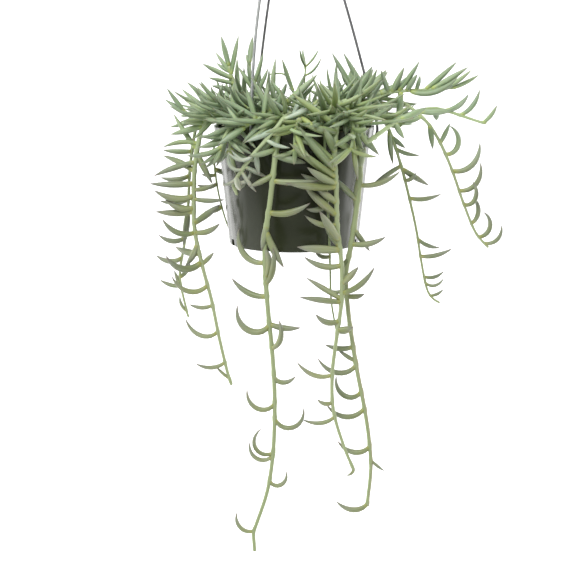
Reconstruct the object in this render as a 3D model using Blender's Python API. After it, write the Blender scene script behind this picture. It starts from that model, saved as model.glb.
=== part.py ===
"""A potted string of fishhooks in a plastic hanging pot, on a three-wire hanger.

Sizes are in millimetres through MM, because Blender's unit is the metre. The pot's own frame has its
origin on the pot's axis in the plane of the rim's top, +X to the right, -Y to the front and +Z up. An
empty carries that frame, and puts the crook's inner top, where the whole thing hangs, at the world's origin.
"""

import math
import random
from collections import namedtuple

import bmesh
import bpy
import numpy as np
from mathutils import Matrix, Quaternion, Vector

MM = 0.001

# Pot
RIM_RADIUS = 79.5
RIM_BOTTOM_RADIUS = 77.5
RIM_HEIGHT = 20.0
SHOULDER_RADIUS = 74.5
BASE_RADIUS = 65.0
POT_HEIGHT = 118.0
WALL = 1.5
LIP_RADIUS = 1.6
FLOOR = 2.0
POT_SEGMENTS = 36
DRAIN_HOLES = 8
DRAIN_RADIUS = 4.0

# Soil
SOIL_TOP = -20.5
SOIL_GAP = 0.35
SOIL_SEGMENTS = 20
ROOT_DEPTH = 12.0
ROOT_CLEARANCE = 0.5

# Hanger
WIRE_RADIUS = 1.4
WIRE_HOLE_DROP = 14.0
WIRE_HOLE_RADIUS = 1.9
WIRE_TOP = 255.0
WIRE_SUNK = 9.0
WIRE_SPREAD = 2.4
WIRE_SIDES = 6
WIRE_STEPS = 5
# where a wire's end runs past the rim and in through its hole: out from the collar, and down from the rim
WIRE_END = ((0.7, 10.0), (0.3, 12.8), (-0.9, 14.0), (-6.3, 14.0), (-7.5, 12.8), (-7.9, 10.5), (-7.9, 6.5))
SLEEVE_RADIUS = 5.2
SLEEVE_HEIGHT = 17.0
BORE_GAP = 0.3
HOOK_RADIUS = 1.5
HOOK_SUNK = 5.0
CROOK_RADIUS = 11.0
HANG_HEIGHT = 308.0
POT_FRAME = "pot_frame"
# how far each wire bows off the straight line at its middle, in x and y
WIRE_BOWS = {"right": (0, 4, 0), "back": (120, -3, 4), "front": (240, -10, -6)}

# Foliage
STEM_SIDES = 5
THIN_STEM_SIDES = 4
THIN_STEM = 1.95
LEAF_SIDES = 4
LEAF_DEPTH = 0.86
LEAF_STEPS = 24
# the steps along a leaf that get a ring, for leaves that curl less than the first limit, the second, and more
LEAF_RINGS = ((0, 9, 24), (0, 6, 15, 24), (0, 5, 11, 17, 24))
RING_LIMITS = (34.0, 90.0)
WIDE_LEAF = 7.4
# the few-sided rings are drawn a little large, so that a leaf keeps the bulk of a round one
SQUARE_SWELL = 1.12
STEM_TURN = 17.0
STEM_REACH = 32.0
# how much closer to the stem's line the tuft at its end stands, in degrees
TUFT_LEAN = 14.0
# how far a leaf's lean and its curl vary on a leafy stretch, in degrees
LEAN_SPREAD = 18.0
CURL_SPREAD = (-16.0, 26.0)
# how far a leaf that is marked from the front may swing towards the front or the back, in radians
MARK_SWING = 0.3
# the marked widths were read low, more so on the hanging strands than in the crown
STRAND_FULLER = 1.3
CROWN_FULLER = 1.0
# how short the upward part square to a leaf's start is when the start counts as upright
UPRIGHT = 0.25
# how far inside a stem's end the leaves there are rooted
END_INSET = 0.6
# how the stems are bent clear of each other: the points' spacing, the number of pushes and the room wanted
EASE_STEP = 4.0
EASE_ROUNDS = 36
EASE_CLEAR = 1.5
# the room a leaf keeps from every other node
CLEAR = 0.7
# leaves of one stem may press into each other by this much, because they are one body
OWN_CLEAR = -1.2
OWN_LEAVES = 1000
# what a leaf tries until it is clear of the others: degrees of turn about the stem, and a share of its length
LEAF_TRIES = ((0, 1.0), (15, 1.0), (-15, 1.0), (30, 0.95), (-30, 0.95), (0, 0.8), (50, 0.9), (-50, 0.9),
              (20, 0.7), (-20, 0.7), (80, 0.8), (-80, 0.8), (0, 0.55), (120, 0.7), (-120, 0.7), (180, 0.6))

SKY = Vector((0, 0, 1))
GOLDEN_ANGLE = math.radians(137.5)


class Strand:
    """One rooted stem: where it runs, which stretch of it is leafy and how its leaves change along it."""

    def __init__(self, name, route, leafy=(16, 999), stem=(2.0, 1.3), length=(52, 44), width=(6.3, 5.5),
                 curl=(8, 30), lean=(48, 32), pitch=8.8, flat=0.5, level_axis=2):
        self.name = name
        self.route = [Vector(p) for p in route]
        self.leafy = leafy
        self.stem = stem
        self.length = length
        self.width = width
        self.curl = curl
        self.lean = lean
        self.pitch = pitch
        self.flat = flat
        self.level_axis = level_axis


# the strands behind the pot, which the front view hides
BEHIND = dict(leafy=(20, 999), length=(40, 24), width=(7, 4.6), curl=(10, 110), lean=(60, 80), pitch=26)
BEHIND_CROWN = dict(length=(42, 38), pitch=15)
# the sprigs that lie over the rim, with their leaves more across than up
OVER_RIM = dict(flat=0.35, width=(6.2, 5.4), curl=(-4, 10), lean=(60, 40), pitch=11)

STRANDS = [
    Strand("strand_front_left", [
        (-5, -44, -20), (-6, -50, 0), (-7, -62, 13), (-13, -78, 5), (-18, -84, -25), (-22, -83, -60),
        (-28, -82, -108), (-25, -82, -171), (-20, -82, -226), (-19, -82, -280), (-23, -82, -335),
        (-33, -82, -376), (-40, -82, -394), (-39, -82, -414)], leafy=(22, 62), stem=(2.7, 1.8)),
    Strand("strand_front_middle", [
        (31, -40, -20), (32, -44, 2), (36, -56, 20), (39, -75, 6), (37, -81, -20), (39, -81, -54),
        (41, -80, -100), (46, -80, -142), (42, -80, -187), (37, -80, -225), (38, -80, -270), (49, -80, -308),
        (58, -80, -330)], leafy=(22, 62), stem=(2.6, 1.6)),
    Strand("strand_front_right", [
        (47, -14, -20), (47, -19, 2), (49, -34, 24), (57, -58, 2), (62, -66, -30), (59, -67, -74),
        (53, -66, -120), (49, -66, -150), (55, -66, -192), (59, -66, -222), (69, -66, -272), (76, -66, -326),
        (73, -66, -373)],
        leafy=(22, 66), stem=(3.0, 1.8)),
    Strand("strand_front_inner", [
        (17, -52, -20), (19, -57, 0), (24, -70, 10), (28, -80, -4), (29, -76, -40), (32, -72, -80),
        (34, -70, -125), (36, -70, -170), (41, -69, -195)], leafy=(22, 50), stem=(1.4, 0.8)),
    Strand("strand_left", [
        (-44, -20, -20), (-47, -22, 0), (-67, -27, 13), (-87, -30, 3), (-95, -30, -25), (-98, -30, -62),
        (-98, -30, -98), (-91, -30, -135), (-80, -30, -180), (-72, -30, -225), (-63, -30, -258)],
        leafy=(22, 62), stem=(2.4, 1.6)),
    Strand("strand_left_back", [
        (-49, 8, -20), (-52, 9, 2), (-72, 10, 15), (-94, 8, 4), (-103, 6, -32), (-106, 5, -75),
        (-110, 5, -115), (-116, 5, -149), (-113, 5, -175), (-108, 5, -196)], leafy=(22, 60), stem=(1.9, 1.2)),
    Strand("strand_left_inner", [
        (-39, 30, -20), (-42, 32, 0), (-59, 38, 13), (-77, 40, 0), (-82, 37, -35), (-77, 35, -75),
        (-69, 34, -104), (-59, 34, -128)], leafy=(22, 54), stem=(1.3, 0.8)),
    Strand("strand_right_inner", [
        (49, 8, -20), (52, 6, 0), (69, -4, 15), (87, -9, 6), (98, -10, -16), (110, -10, -54), (117, -10, -82),
        (126, -10, -122), (130, -10, -152), (138, -10, -171), (147, -10, -178)],
        leafy=(22, 50), stem=(1.8, 1.1)),
    Strand("strand_right_outer", [
        (43, 24, -20), (47, 22, 2), (71, 12, 22), (101, 3, 24), (121, 0, 12), (137, 0, -4), (148, 0, -24),
        (163, 0, -58), (174, 0, -90), (183, 0, -108), (196, 0, -123)], leafy=(22, 84), stem=(1.9, 1.2),
        length=(46, 34), width=(7, 5.4)),
    Strand("strand_right_top", [
        (31, -4, -20), (34, -6, 4), (55, -8, 24), (85, -8, 31), (121, -6, 34), (158, -5, 36)],
        leafy=(22, 60), stem=(2.1, 1.1), level_axis=0),
    Strand("strand_right_low", [
        (57, -34, -20), (58, -40, 0), (61, -62, 13), (63, -79, 4), (66, -83, -10), (78, -74, -4),
        (92, -54, 4), (107, -34, 10), (125, -23, 16),
        (144, -20, 16), (164, -20, 8), (187, -20, 3)], leafy=(22, 40), stem=(2.7, 1.3), level_axis=0),
]

CROWN = [
    Strand("crown_left_1", [(-37, 12, -20), (-44, 10, 8), (-56, 7, 32), (-62, 6, 48), (-64, 6, 57)],
           leafy=(18, 58), length=(42, 36), pitch=10, flat=1.0),
    Strand("crown_left_2", [(-21, 4, -20), (-28, 6, 8), (-38, 7, 34), (-43, 7, 50), (-44, 7, 60)],
           leafy=(18, 58), length=(42, 36), pitch=10, flat=1.0),
    Strand("crown_left_3", [
        (-55, -6, -20), (-59, -7, 0), (-68, -9, 10), (-83, -10, 7), (-96, -12, 8), (-107, -12, 13)],
        leafy=(14, 44), pitch=12, level_axis=0),
    Strand("crown_left_4", [(-33, -32, -20), (-39, -35, 3), (-59, -38, 18), (-72, -40, 18), (-78, -40, 14)],
           leafy=(20, 999), length=(42, 34), flat=0.3, pitch=12),
    Strand("crown_left_5", [(-27, -48, -20), (-32, -54, 0), (-49, -66, 10), (-63, -76, -2), (-69, -78, -18)],
           length=(42, 32), pitch=11),
    Strand("crown_front", [
        (-8, -48, -20), (-7, -54, 0), (-6, -66, 15), (-17, -87, 3), (-34, -87, -17), (-50, -81, -37),
        (-57, -76, -50), (-54, -76, -60)], leafy=(22, 44), stem=(2.2, 1.5), length=(36, 30),
        width=(6.4, 5.5), pitch=11),
    Strand("crown_middle_1", [(-9, 22, -20), (-10, 25, 2), (-15, 29, 13), (-20, 31, 19)],
           leafy=(18, 30), length=(36, 30), width=(6, 5), pitch=12),
    Strand("crown_middle_2", [(7, 34, -20), (8, 36, 8), (10, 38, 34), (12, 38, 56)],
           leafy=(66, 999), stem=(1.0, 0.8), length=(28, 26), width=(3.6, 3.2), lean=(44, 44)),
    Strand("crown_middle_3", [(21, 16, -20), (23, 17, 2), (27, 14, 15), (39, 8, 22), (53, 4, 23)],
           curl=(-14, 14), lean=(62, 40), pitch=11),
    Strand("crown_middle_4", [
        (0, 28, -20), (1, 31, 4), (0, 34, 28), (-5, 35, 43), (-13, 35, 49), (-26, 35, 48)],
        leafy=(20, 42), stem=(1.3, 0.8), length=(30, 24), width=(5, 4), pitch=14),
    Strand("crown_right_1", [(37, 34, -20), (41, 36, 5), (51, 38, 24), (60, 38, 36)],
           leafy=(18, 56), pitch=13),
    Strand("crown_right_2", [
        (61, -4, -20), (64, -6, 2), (80, -12, 10), (92, -22, 2)],
        leafy=(14, 999), length=(46, 26), width=(7, 6), pitch=12),
    Strand("crown_right_3", [(58, 16, -20), (61, 18, 4), (68, 20, 20), (73, 20, 32)],
           leafy=(18, 50), pitch=13),
    Strand("crown_drop_1", [(9, -52, -20), (9, -58, 0), (6, -72, 12), (1, -84, 0), (0, -84, -18)],
           length=(46, 32), width=(8.4, 7), lean=(44, 30), curl=(0, 10), pitch=12),
    Strand("crown_drop_2", [(-41, -40, -20), (-46, -46, 0), (-55, -58, 12), (-61, -68, -4), (-61, -70, -20)],
           length=(44, 30), width=(7, 6), lean=(46, 34), curl=(0, 12), pitch=12),
    Strand("crown_centre_1", [
        (-15, -28, -20), (-16, -34, 2), (-18, -52, 15), (-26, -72, 14), (-40, -79, 7), (-56, -75, -3),
        (-68, -66, -12)],
        leafy=(20, 30), level_axis=0),
    Strand("crown_centre_2", [
        (19, -26, -20), (19, -30, 2), (14, -38, 14), (3, -44, 20), (-8, -46, 24)],
        leafy=(18, 28), level_axis=0),
    Strand("crown_centre_3", [
        (3, -10, -20), (0, -15, 2), (-13, -28, 13), (-34, -38, 18), (-56, -40, 18), (-66, -38, 20)],
        leafy=(18, 999), lean=(56, 36), pitch=12),
    Strand("crown_centre_4", [
        (33, -22, -20), (36, -27, 3), (46, -46, 17), (53, -66, 13), (55, -82, -2), (52, -88, -16)],
        **OVER_RIM),
    Strand("crown_centre_5", [(11, 6, -20), (10, 3, 0), (6, -10, 9), (-1, -30, 14), (-11, -42, 15)],
           **OVER_RIM),
    Strand("crown_back_1", [(-5, 44, -20), (-9, 48, 4), (-23, 58, 18), (-35, 64, 19)], **BEHIND_CROWN),
    Strand("crown_back_2", [(21, 40, -20), (24, 45, 4), (37, 56, 18), (47, 64, 18)], **BEHIND_CROWN),
    Strand("crown_back_3", [(-49, 26, -20), (-53, 29, 2), (-69, 46, 14), (-81, 56, 9)], **BEHIND_CROWN),
    Strand("crown_back_4", [(59, 22, -20), (63, 24, 2), (81, 30, 12), (97, 36, 3)], **BEHIND_CROWN),
    Strand("strand_back_left", [
        (-25, 44, -20), (-29, 49, 2), (-43, 64, 13), (-53, 72, 0), (-55, 74, -30), (-49, 74, -66)],
        **BEHIND),
    Strand("strand_back_middle", [
        (7, 56, -20), (8, 61, 0), (13, 76, 10), (17, 85, -8), (19, 86, -48), (15, 86, -92)], **BEHIND),
    Strand("strand_back_right", [
        (39, 50, -20), (43, 55, 0), (55, 68, 10), (61, 74, -8), (59, 75, -40), (53, 73, -76)], **BEHIND),
]

# The leaves seen one by one on the strands that leave the pot. Each has the level at which it leaves its
# stem, a height in the pot's frame or, on the two strands that run out sideways, a distance to the right;
# the angle it leaves at as seen from the front; how far it curls up; its length and its width.
MARKED = {
    "strand_front_left": (
        (-4, 225, 5, 30, 6), (-16, 205, 20, 30, 5), (-22, 340, 10, 30, 6.5), (-40, 215, 15, 26, 5),
        (-47, 355, 12, 45, 5.5), (-77, 350, 45, 43, 6), (-89, 260, 5, 24, 6), (-95, 292, 10, 38, 6.5),
        (-125, 195, 120, 51, 5.5), (-138, 55, 70, 47, 5.5), (-144, 35, 70, 42, 5), (-156, 195, 70, 41, 5.5),
        (-182, 255, 180, 54, 6), (-184, 335, 35, 31, 5.5), (-206, 10, 110, 36, 5), (-233, 275, 140, 28, 4.5),
        (-261, 255, 175, 45, 4.5), (-277, 280, 180, 49, 4.5), (-311, 225, 190, 43, 4),
        (-315, 238, 160, 38, 4), (-340, 272, 195, 32, 4), (-393, 205, 130, 32, 4),
    ),
    "strand_front_middle": (
        (3, 149, 0, 54, 6), (-2, 178, 5, 44, 7), (-9, 330, 5, 24, 6), (-18, 148, 5, 42, 6.5),
        (-27, 146, 8, 56, 5.5), (-36, 142, 10, 62, 7),
        (-43, 152, 10, 60, 6.5), (-50, 160, 10, 47, 6.5), (-53, 178, 10, 58, 6.5), (-66, 150, 10, 36, 6.5),
        (-78, 145, 10, 42, 7), (-89, 190, 50, 34, 5), (-102, 138, 10, 44, 7), (-110, 128, 5, 30, 5.5),
        (-113, 176, 5, 42, 7.5), (-127, 200, 60, 39, 5.5), (-146, 45, 5, 24, 6), (-154, 12, 50, 43, 5.5),
        (-160, 153, 4, 40, 5), (-164, 167, -4, 42, 5.5), (-182, 205, 80, 26, 5.5), (-191, 10, 10, 16, 5.5),
        (-235, 202, 75, 40, 4.5), (-260, 235, 105, 18, 4), (-275, 232, 78, 35, 4), (-326, 318, -130, 15, 3),
    ),
    "strand_front_right": (
        (4, 284, 5, 42, 6.5), (-1, 300, 5, 30, 5.5), (-16, 200, 10, 29, 5.5), (-34, 155, 10, 44, 6.5),
        (-44, 262, 5, 30, 6.5), (-51, 347, 55, 43, 5), (-66, 140, 5, 34, 5.5), (-93, 302, 5, 29, 5),
        (-108, 348, 45, 38, 5.5), (-121, 258, 65, 19, 5), (-135, 75, 5, 30, 6.5), (-158, 327, 65, 18, 5),
        (-191, 218, 65, 19, 4.5), (-210, 204, 50, 29, 5), (-225, 150, 5, 21, 4), (-227, 247, 130, 48, 5),
        (-255, 251, 175, 44, 5), (-273, 236, 115, 46, 5), (-309, 251, 130, 40, 5), (-326, 320, 5, 18, 3),
        (-370, 245, 115, 38, 5),
    ),
    "strand_front_inner": (
        (-18, 215, 20, 24, 5), (-52, 160, 10, 28, 5.5), (-70, 223, 65, 24, 5), (-93, 150, 10, 25, 4.5),
        (-120, 198, 65, 17, 4), (-153, 314, 95, 15, 3.5),
    ),
    "strand_left": (
        (2, 199, 5, 34, 6), (4, 180, 5, 22, 5),
        (-16, 163, -42, 37, 4.5), (-22, 131, 6, 44, 4.5), (-24, 292, 5, 35, 6),
        (-35, 186, -18, 43, 5.5), (-43, 150, -15, 39, 5.5),
        (-54, 188, 12, 44, 6), (-60, 350, 45, 24, 4.5), (-67, 205, 60, 41, 6.5), (-70, 350, 20, 34, 4.5),
        (-78, 201, 65, 31, 6.5), (-83, 190, 15, 41, 6.5), (-93, 32, 5, 32, 6.5), (-103, 204, 85, 39, 5.5),
        (-104, 358, 45, 33, 5.5), (-116, 250, 20, 25, 6), (-124, 195, 30, 37, 6.5), (-133, 229, 110, 45, 6.5),
        (-135, 42, 5, 17, 4.5), (-155, 236, 125, 45, 5), (-177, 208, 55, 25, 4), (-203, 235, 130, 45, 4.5),
        (-235, 220, 75, 33, 4), (-253, 140, 5, 20, 3),
    ),
    "strand_left_back": (
        (-26, 190, 20, 30, 5), (-52, 207, 45, 30, 5), (-76, 202, 35, 30, 5), (-88, 265, 5, 36, 6.5),
        (-114, 219, 78, 30, 5), (-135, 219, 78, 30, 5), (-154, 27, 55, 20, 4.5), (-163, 194, 50, 24, 4),
        (-166, 120, 10, 20, 4), (-189, 153, 65, 17, 3),
    ),
    "strand_left_inner": (
        (-30, 200, 20, 22, 5), (-49, 345, 10, 24, 5.5), (-53, 202, 35, 16, 4), (-63, 218, 65, 22, 4.5),
        (-86, 222, 45, 20, 5),
    ),
    "strand_right_inner": (
        (-6, 275, 5, 33, 5), (-11, 318, 5, 18, 4.5), (-22, 323, 35, 26, 4), (-39, 210, -5, 38, 4.5),
        (-42, 325, 5, 34, 5.5), (-53, 346, 80, 17, 4), (-73, 348, 35, 34, 4.5), (-114, 320, 40, 24, 4),
        (-130, 353, 40, 34, 4.5), (-152, 339, 65, 22, 3.5), (-157, 304, 115, 24, 3), (-170, 347, 65, 15, 3),
    ),
    "strand_right_outer": (
        (7, 200, 10, 20, 5), (-1, 285, -8, 24, 5), (-18, 62, 5, 22, 4.5), (-29, 344, 170, 42, 5),
        (-46, 345, 110, 46, 5.5), (-66, 350, 115, 42, 5), (-79, 345, 155, 36, 4.5), (-99, 31, 105, 32, 4.5),
        (-111, 341, 170, 36, 4.5), (-119, 345, 115, 30, 4),
    ),
    "strand_right_top": (
        (55, 55, 5, 40, 8), (66, 44, 5, 36, 7.5), (76, 300, 5, 30, 7), (84, 20, 5, 32, 7),
        (92, 112, 5, 25, 4.5), (96, 66, 5, 28, 5), (102, 50, 10, 36, 5), (105, 268, 5, 38, 6),
        (109, 60, 5, 23, 5), (114, 337, 70, 52, 5.5), (120, 75, 5, 15, 4), (128, 34, 10, 43, 5),
        (134, 26, 8, 43, 5.5), (143, 38, 5, 18, 5), (149, 30, 12, 31, 4), (155, 18, 12, 31, 4),
    ),
    "strand_right_low": (
        (95, 300, 5, 18, 5), (102, 20, 5, 28, 6), (112, 200, 5, 20, 5), (122, 350, 20, 34, 6),
        (138, 282, 5, 20, 5.5), (148, 7, 55, 28, 5), (161, 15, 62, 34, 4.5), (184, 33, 35, 22, 4),
    ),
    "crown_left_1": (
        (57, 108, 5, 31, 6.5), (54, 118, 5, 27, 7), (52, 132, 5, 24, 5), (50, 148, 5, 18, 4.5),
        (48, 82, 5, 40, 6), (46, 160, 8, 33, 6.5), (41, 172, 5, 27, 5), (32, 165, -5, 28, 6.5),
        (22, 146, 0, 30, 7), (14, 175, 10, 34, 6),
    ),
    "crown_left_2": (
        (59, 86, 5, 27, 6.5), (56, 104, 5, 24, 5), (46, 101, 5, 45, 6), (40, 70, 5, 32, 5.5),
        (32, 58, 10, 26, 5), (24, 120, -8, 40, 6.5), (14, 40, 10, 34, 6),
    ),
    "crown_left_3": (
        (-106, 130, 4, 31, 5.5), (-105, 152, 5, 26, 5.5), (-102, 190, 5, 10, 3.5), (-96, 168, 20, 22, 5),
        (-90, 200, 8, 34, 6), (-86, 182, 10, 24, 5), (-83, 97, 48, 42, 7), (-78, 80, 10, 34, 5.5),
        (-72, 110, 10, 36, 6), (-68, 230, 20, 26, 6),
    ),
    "crown_front": (
        (-54, 345, 130, 24, 4.5), (-47, 318, 150, 26, 4.5), (-35, 215, 150, 28, 4.5), (-22, 235, 110, 28, 4.5),
        (-44, 329, 12, 37, 6.5), (-43, 240, 60, 18, 4.5), (-38, 300, 10, 24, 5), (-33, 331, 5, 30, 5.5),
        (-27, 200, 70, 24, 4.5), (-20, 278, 5, 38, 6.5), (-12, 228, 10, 30, 6.5), (-8, 330, 30, 26, 5),
        (2, 206, 5, 30, 6.5), (10, 10, 5, 36, 6),
    ),
    "crown_middle_1": (
        (18, 103, -25, 47, 6.5), (16, 60, 10, 26, 5), (12, 128, 5, 34, 6),
    ),
    "crown_middle_4": (
        (32, 112, 5, 33, 5.5), (24, 60, 10, 28, 5), (46, 100, 10, 18, 3.5),
    ),
    "crown_right_1": (
        (35, 124, 5, 41, 6.5), (33, 128, 5, 20, 5), (31, 94, 5, 28, 8), (27, 160, 5, 25, 5.5),
        (22, 116, 5, 32, 6), (16, 150, -5, 38, 6.5), (12, 60, 5, 34, 6),
    ),
    "crown_right_3": (
        (31, 124, 5, 46, 6.5), (30, 42, 5, 31, 8), (26, 76, 5, 30, 5.5), (18, 30, 5, 36, 7.5),
        (10, 160, 5, 36, 6.5),
    ),
    "crown_centre_1": (
        (-66, 205, 20, 26, 6), (-64, 255, 10, 28, 6), (-60, 190, 10, 32, 6), (-55, 222, 5, 30, 7),
        (-48, 130, 5, 26, 5.5), (-46, 244, 5, 41, 8), (-41, 178, 5, 36, 6), (-36, 104, 5, 32, 6.5),
        (-33, 152, 0, 45, 6), (-29, 84, 5, 32, 6), (-26, 215, 10, 38, 6.5), (-23, 130, 0, 38, 6),
        (-19, 65, 5, 30, 6),
    ),
    "crown_centre_4": (
        (15, 150, 5, 40, 6), (13, 285, 5, 42, 6), (8, 258, 5, 36, 6), (2, 292, 4, 42, 6), (-3, 246, 8, 36, 6),
        (-9, 282, 5, 38, 6),
    ),
    "crown_centre_2": (
        (-7, 40, 5, 40, 8), (-6, 130, 5, 28, 5.5), (-5, 170, 0, 40, 6), (1, 46, 5, 30, 5.5),
        (5, 340, -5, 40, 5.5), (8, 22, 5, 32, 6), (12, 200, 5, 34, 6.5), (16, 75, 5, 24, 6),
    ),
}


Leaf = namedtuple("Leaf", "root start rise length width curl")


def smooth(route, step):
    """Points about `step` apart on the smooth curve that rises out of the soil and runs through the route."""
    ends = [route[0] - SKY * 12, *route, route[-1] * 2 - route[-2]]
    fine = [route[0].copy()]
    for a, b, c, d in zip(ends, ends[1:], ends[2:], ends[3:]):
        for i in range(1, 17):
            t = i / 16
            square = (2 * a - 5 * b + 4 * c - d) * t**2
            cube = (3 * b - a - 3 * c + d) * t**3
            fine.append((2 * b + (c - a) * t + square + cube) * 0.5)
    reach = [0.0]
    for a, b in zip(fine, fine[1:]):
        reach.append(reach[-1] + (b - a).length)
    count = max(2, round(reach[-1] / step))
    wanted = np.linspace(0, reach[-1], count + 1)
    table = np.array(fine)
    return np.stack([np.interp(wanted, reach, table[:, k]) for k in range(3)], axis=1)


def wire_path(angle, bow_x, bow_y):
    """A hanger wire's middle: out of the sleeve, bowing a little, past the rim and in through its hole."""
    way = Vector((math.cos(math.radians(angle)), math.sin(math.radians(angle)), 0))
    bow = Vector((bow_x, bow_y, 0))
    top = way * WIRE_SPREAD + SKY * WIRE_TOP
    foot = way * (RIM_RADIUS + WIRE_RADIUS + 0.7) + SKY * 3
    points = [top + SKY * WIRE_SUNK, top]
    for i in range(1, WIRE_STEPS):
        t = i / WIRE_STEPS
        points.append(top.lerp(foot, t) + bow * math.sin(math.pi * t))
    points.append(foot)
    for out, drop in WIRE_END:
        points.append(way * (RIM_RADIUS + WIRE_RADIUS + out) - SKY * drop)
    return points


def chain(points, step):
    """Points at most `step` apart along the straight runs between the given points."""
    spots = []
    for a, b in zip(points, points[1:]):
        count = max(1, math.ceil((b - a).length / step))
        spots += [a.lerp(b, i / count) for i in range(count)]
    return np.array(spots + [points[-1]])


def pot_gaps(spots):
    """How far each spot is from the pot, less than nothing inside it, and the way out from there."""
    x, y, z = spots.T
    r = np.maximum(np.hypot(x, y), 1e-6)
    heights = (-POT_HEIGHT, -RIM_HEIGHT - 2, -RIM_HEIGHT, 0)
    wall = np.interp(z, heights, (BASE_RADIUS, SHOULDER_RADIUS, RIM_BOTTOM_RADIUS, RIM_RADIUS))
    inner = wall - 2 * LIP_RADIUS
    outside = r > (wall + inner) / 2
    gap = np.where(outside, r - wall, inner - r)
    side = np.where(outside, 1.0, -1.0)
    over = z > -LIP_RADIUS
    lift = z + LIP_RADIUS
    beside = r - (RIM_RADIUS - LIP_RADIUS)
    ring = np.maximum(np.hypot(beside, lift), 1e-6)
    gap = np.where(over, ring - LIP_RADIUS, gap)
    radial = np.where(over, beside / ring, side)
    up = np.where(over, lift / ring, 0.0)
    under = z < -POT_HEIGHT
    gap = np.where(under, np.maximum(r - BASE_RADIUS, -POT_HEIGHT - z), gap)
    return gap, np.stack([radial * x / r, radial * y / r, up], axis=1)


def ease_apart(lines, radii, fixed):
    """Bend the stems clear of each other, of the pot and of the wires, by many small even pushes."""
    home = np.concatenate(lines)
    owner = np.repeat(np.arange(len(lines)), [len(line) for line in lines])
    size = np.concatenate(radii)
    shift = np.zeros_like(home)
    starts = np.flatnonzero(np.diff(owner, prepend=-1))
    for _ in range(EASE_ROUNDS):
        now = home + shift
        apart = now[:, None] - now[None]
        far = np.linalg.norm(apart, axis=2) + 1e-9
        want = size[:, None] + size[None] + EASE_CLEAR
        short = np.where(owner[:, None] == owner[None], 0.0, np.maximum(want - far, 0.0))
        push = (apart * (short / far)[:, :, None]).sum(axis=1) * 0.5
        apart = now[:, None] - fixed[None]
        far = np.linalg.norm(apart, axis=2) + 1e-9
        short = np.maximum(size[:, None] + WIRE_RADIUS + EASE_CLEAR - far, 0.0)
        push += (apart * (short / far)[:, :, None]).sum(axis=1)
        gap, way = pot_gaps(now)
        push += way * np.maximum(size + EASE_CLEAR - gap, 0.0)[:, None]
        shift += push * 0.5
        before = np.vstack([shift[:1], shift[:-1]])
        after = np.vstack([shift[1:], shift[-1:]])
        before[starts] = shift[starts]
        after[np.append(starts[1:] - 1, -1)] = shift[np.append(starts[1:] - 1, -1)]
        shift = shift * 0.5 + (before + after) * 0.25
        shift[starts] = 0
    eased = home + shift
    return [eased[owner == k] for k in range(len(lines))]


def thin_out(line):
    """The fewest of a stem's points that still follow its bends."""
    points = [Vector(p) for p in line]
    kept = [0]
    for i in range(1, len(points) - 1):
        first = points[kept[-1] + 1] - points[kept[-1]]
        turn = first.angle(points[i + 1] - points[i])
        run = (points[i] - points[kept[-1]]).length
        if math.degrees(turn) > STEM_TURN or run > STEM_REACH:
            kept.append(i)
    return [points[i] for i in kept] + [points[-1]]


class Stem:
    """A stem as it is modelled: its points, the run along it to each one, and how its radius falls."""

    def __init__(self, points, radii):
        self.points = points
        self.runs = [0.0]
        for a, b in zip(points, points[1:]):
            self.runs.append(self.runs[-1] + (b - a).length)
        self.length = self.runs[-1]
        self.ends = radii

    def radius(self, run):
        return self.ends[0] + (self.ends[1] - self.ends[0]) * run / self.length

    def place(self, run):
        """The point a given run along the stem, and the stem's direction there."""
        k = 0
        while k < len(self.points) - 2 and self.runs[k + 1] < run:
            k += 1
        a, b = self.points[k], self.points[k + 1]
        share = (run - self.runs[k]) / (self.runs[k + 1] - self.runs[k])
        before = self.points[max(0, k - 1)]
        after = self.points[min(len(self.points) - 1, k + 2)]
        bend = (b - before).normalized().lerp((after - a).normalized(), share)
        return a.lerp(b, share), bend.normalized()

    def run_at(self, axis, level):
        """The run at which the stem passes a level for the last time, or its end where it never does."""
        for k in range(len(self.points) - 2, -1, -1):
            a, b = self.points[k][axis], self.points[k + 1][axis]
            if min(a, b) <= level <= max(a, b) and a != b:
                return self.runs[k] + (level - a) / (b - a) * (self.runs[k + 1] - self.runs[k])
        return self.length - END_INSET

    def balls(self, step):
        spots = chain(self.points, step)
        runs = np.append(0, np.cumsum(np.linalg.norm(np.diff(spots, axis=0), axis=1)))
        return spots, self.ends[0] + (self.ends[1] - self.ends[0]) * runs / self.length


class Crowd:
    """Balls that stand for everything placed so far, to test what comes next against."""

    def __init__(self):
        self.spots = np.empty((0, 3))
        self.sizes = np.empty(0)
        self.owners = np.empty(0, int)

    def add(self, spots, sizes, owner):
        self.spots = np.vstack([self.spots, spots])
        self.sizes = np.append(self.sizes, sizes)
        self.owners = np.append(self.owners, np.full(len(spots), owner))

    def is_clear(self, spots, sizes, ignored, clear):
        if (pot_gaps(spots)[0] - sizes).min() < clear:
            return False
        in_pot = np.hypot(spots[:, 0], spots[:, 1]) < RIM_BOTTOM_RADIUS
        over_soil = np.where(in_pot & (spots[:, 2] > -POT_HEIGHT), spots[:, 2] - SOIL_TOP, 99.0)
        if (over_soil - sizes).min() < clear:
            return False
        others = ~np.isin(self.owners, ignored)
        far = np.linalg.norm(spots[:, None] - self.spots[None, others], axis=2)
        return (far - sizes[:, None] - self.sizes[None, others]).min() > clear


def leaf_middle(leaf):
    """A leaf's middle, step by step: it sets out along its start and curls up, more so near its root."""
    points = [leaf.root.copy()]
    for i in range(LEAF_STEPS):
        t = (i + 0.5) / LEAF_STEPS
        turn = math.radians(leaf.curl) * (1.4 * t - 0.4 * t * t)
        way = leaf.start * math.cos(turn) + leaf.rise * math.sin(turn)
        points.append(points[-1] + way * leaf.length / LEAF_STEPS)
    return points, leaf.start.cross(leaf.rise)


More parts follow.
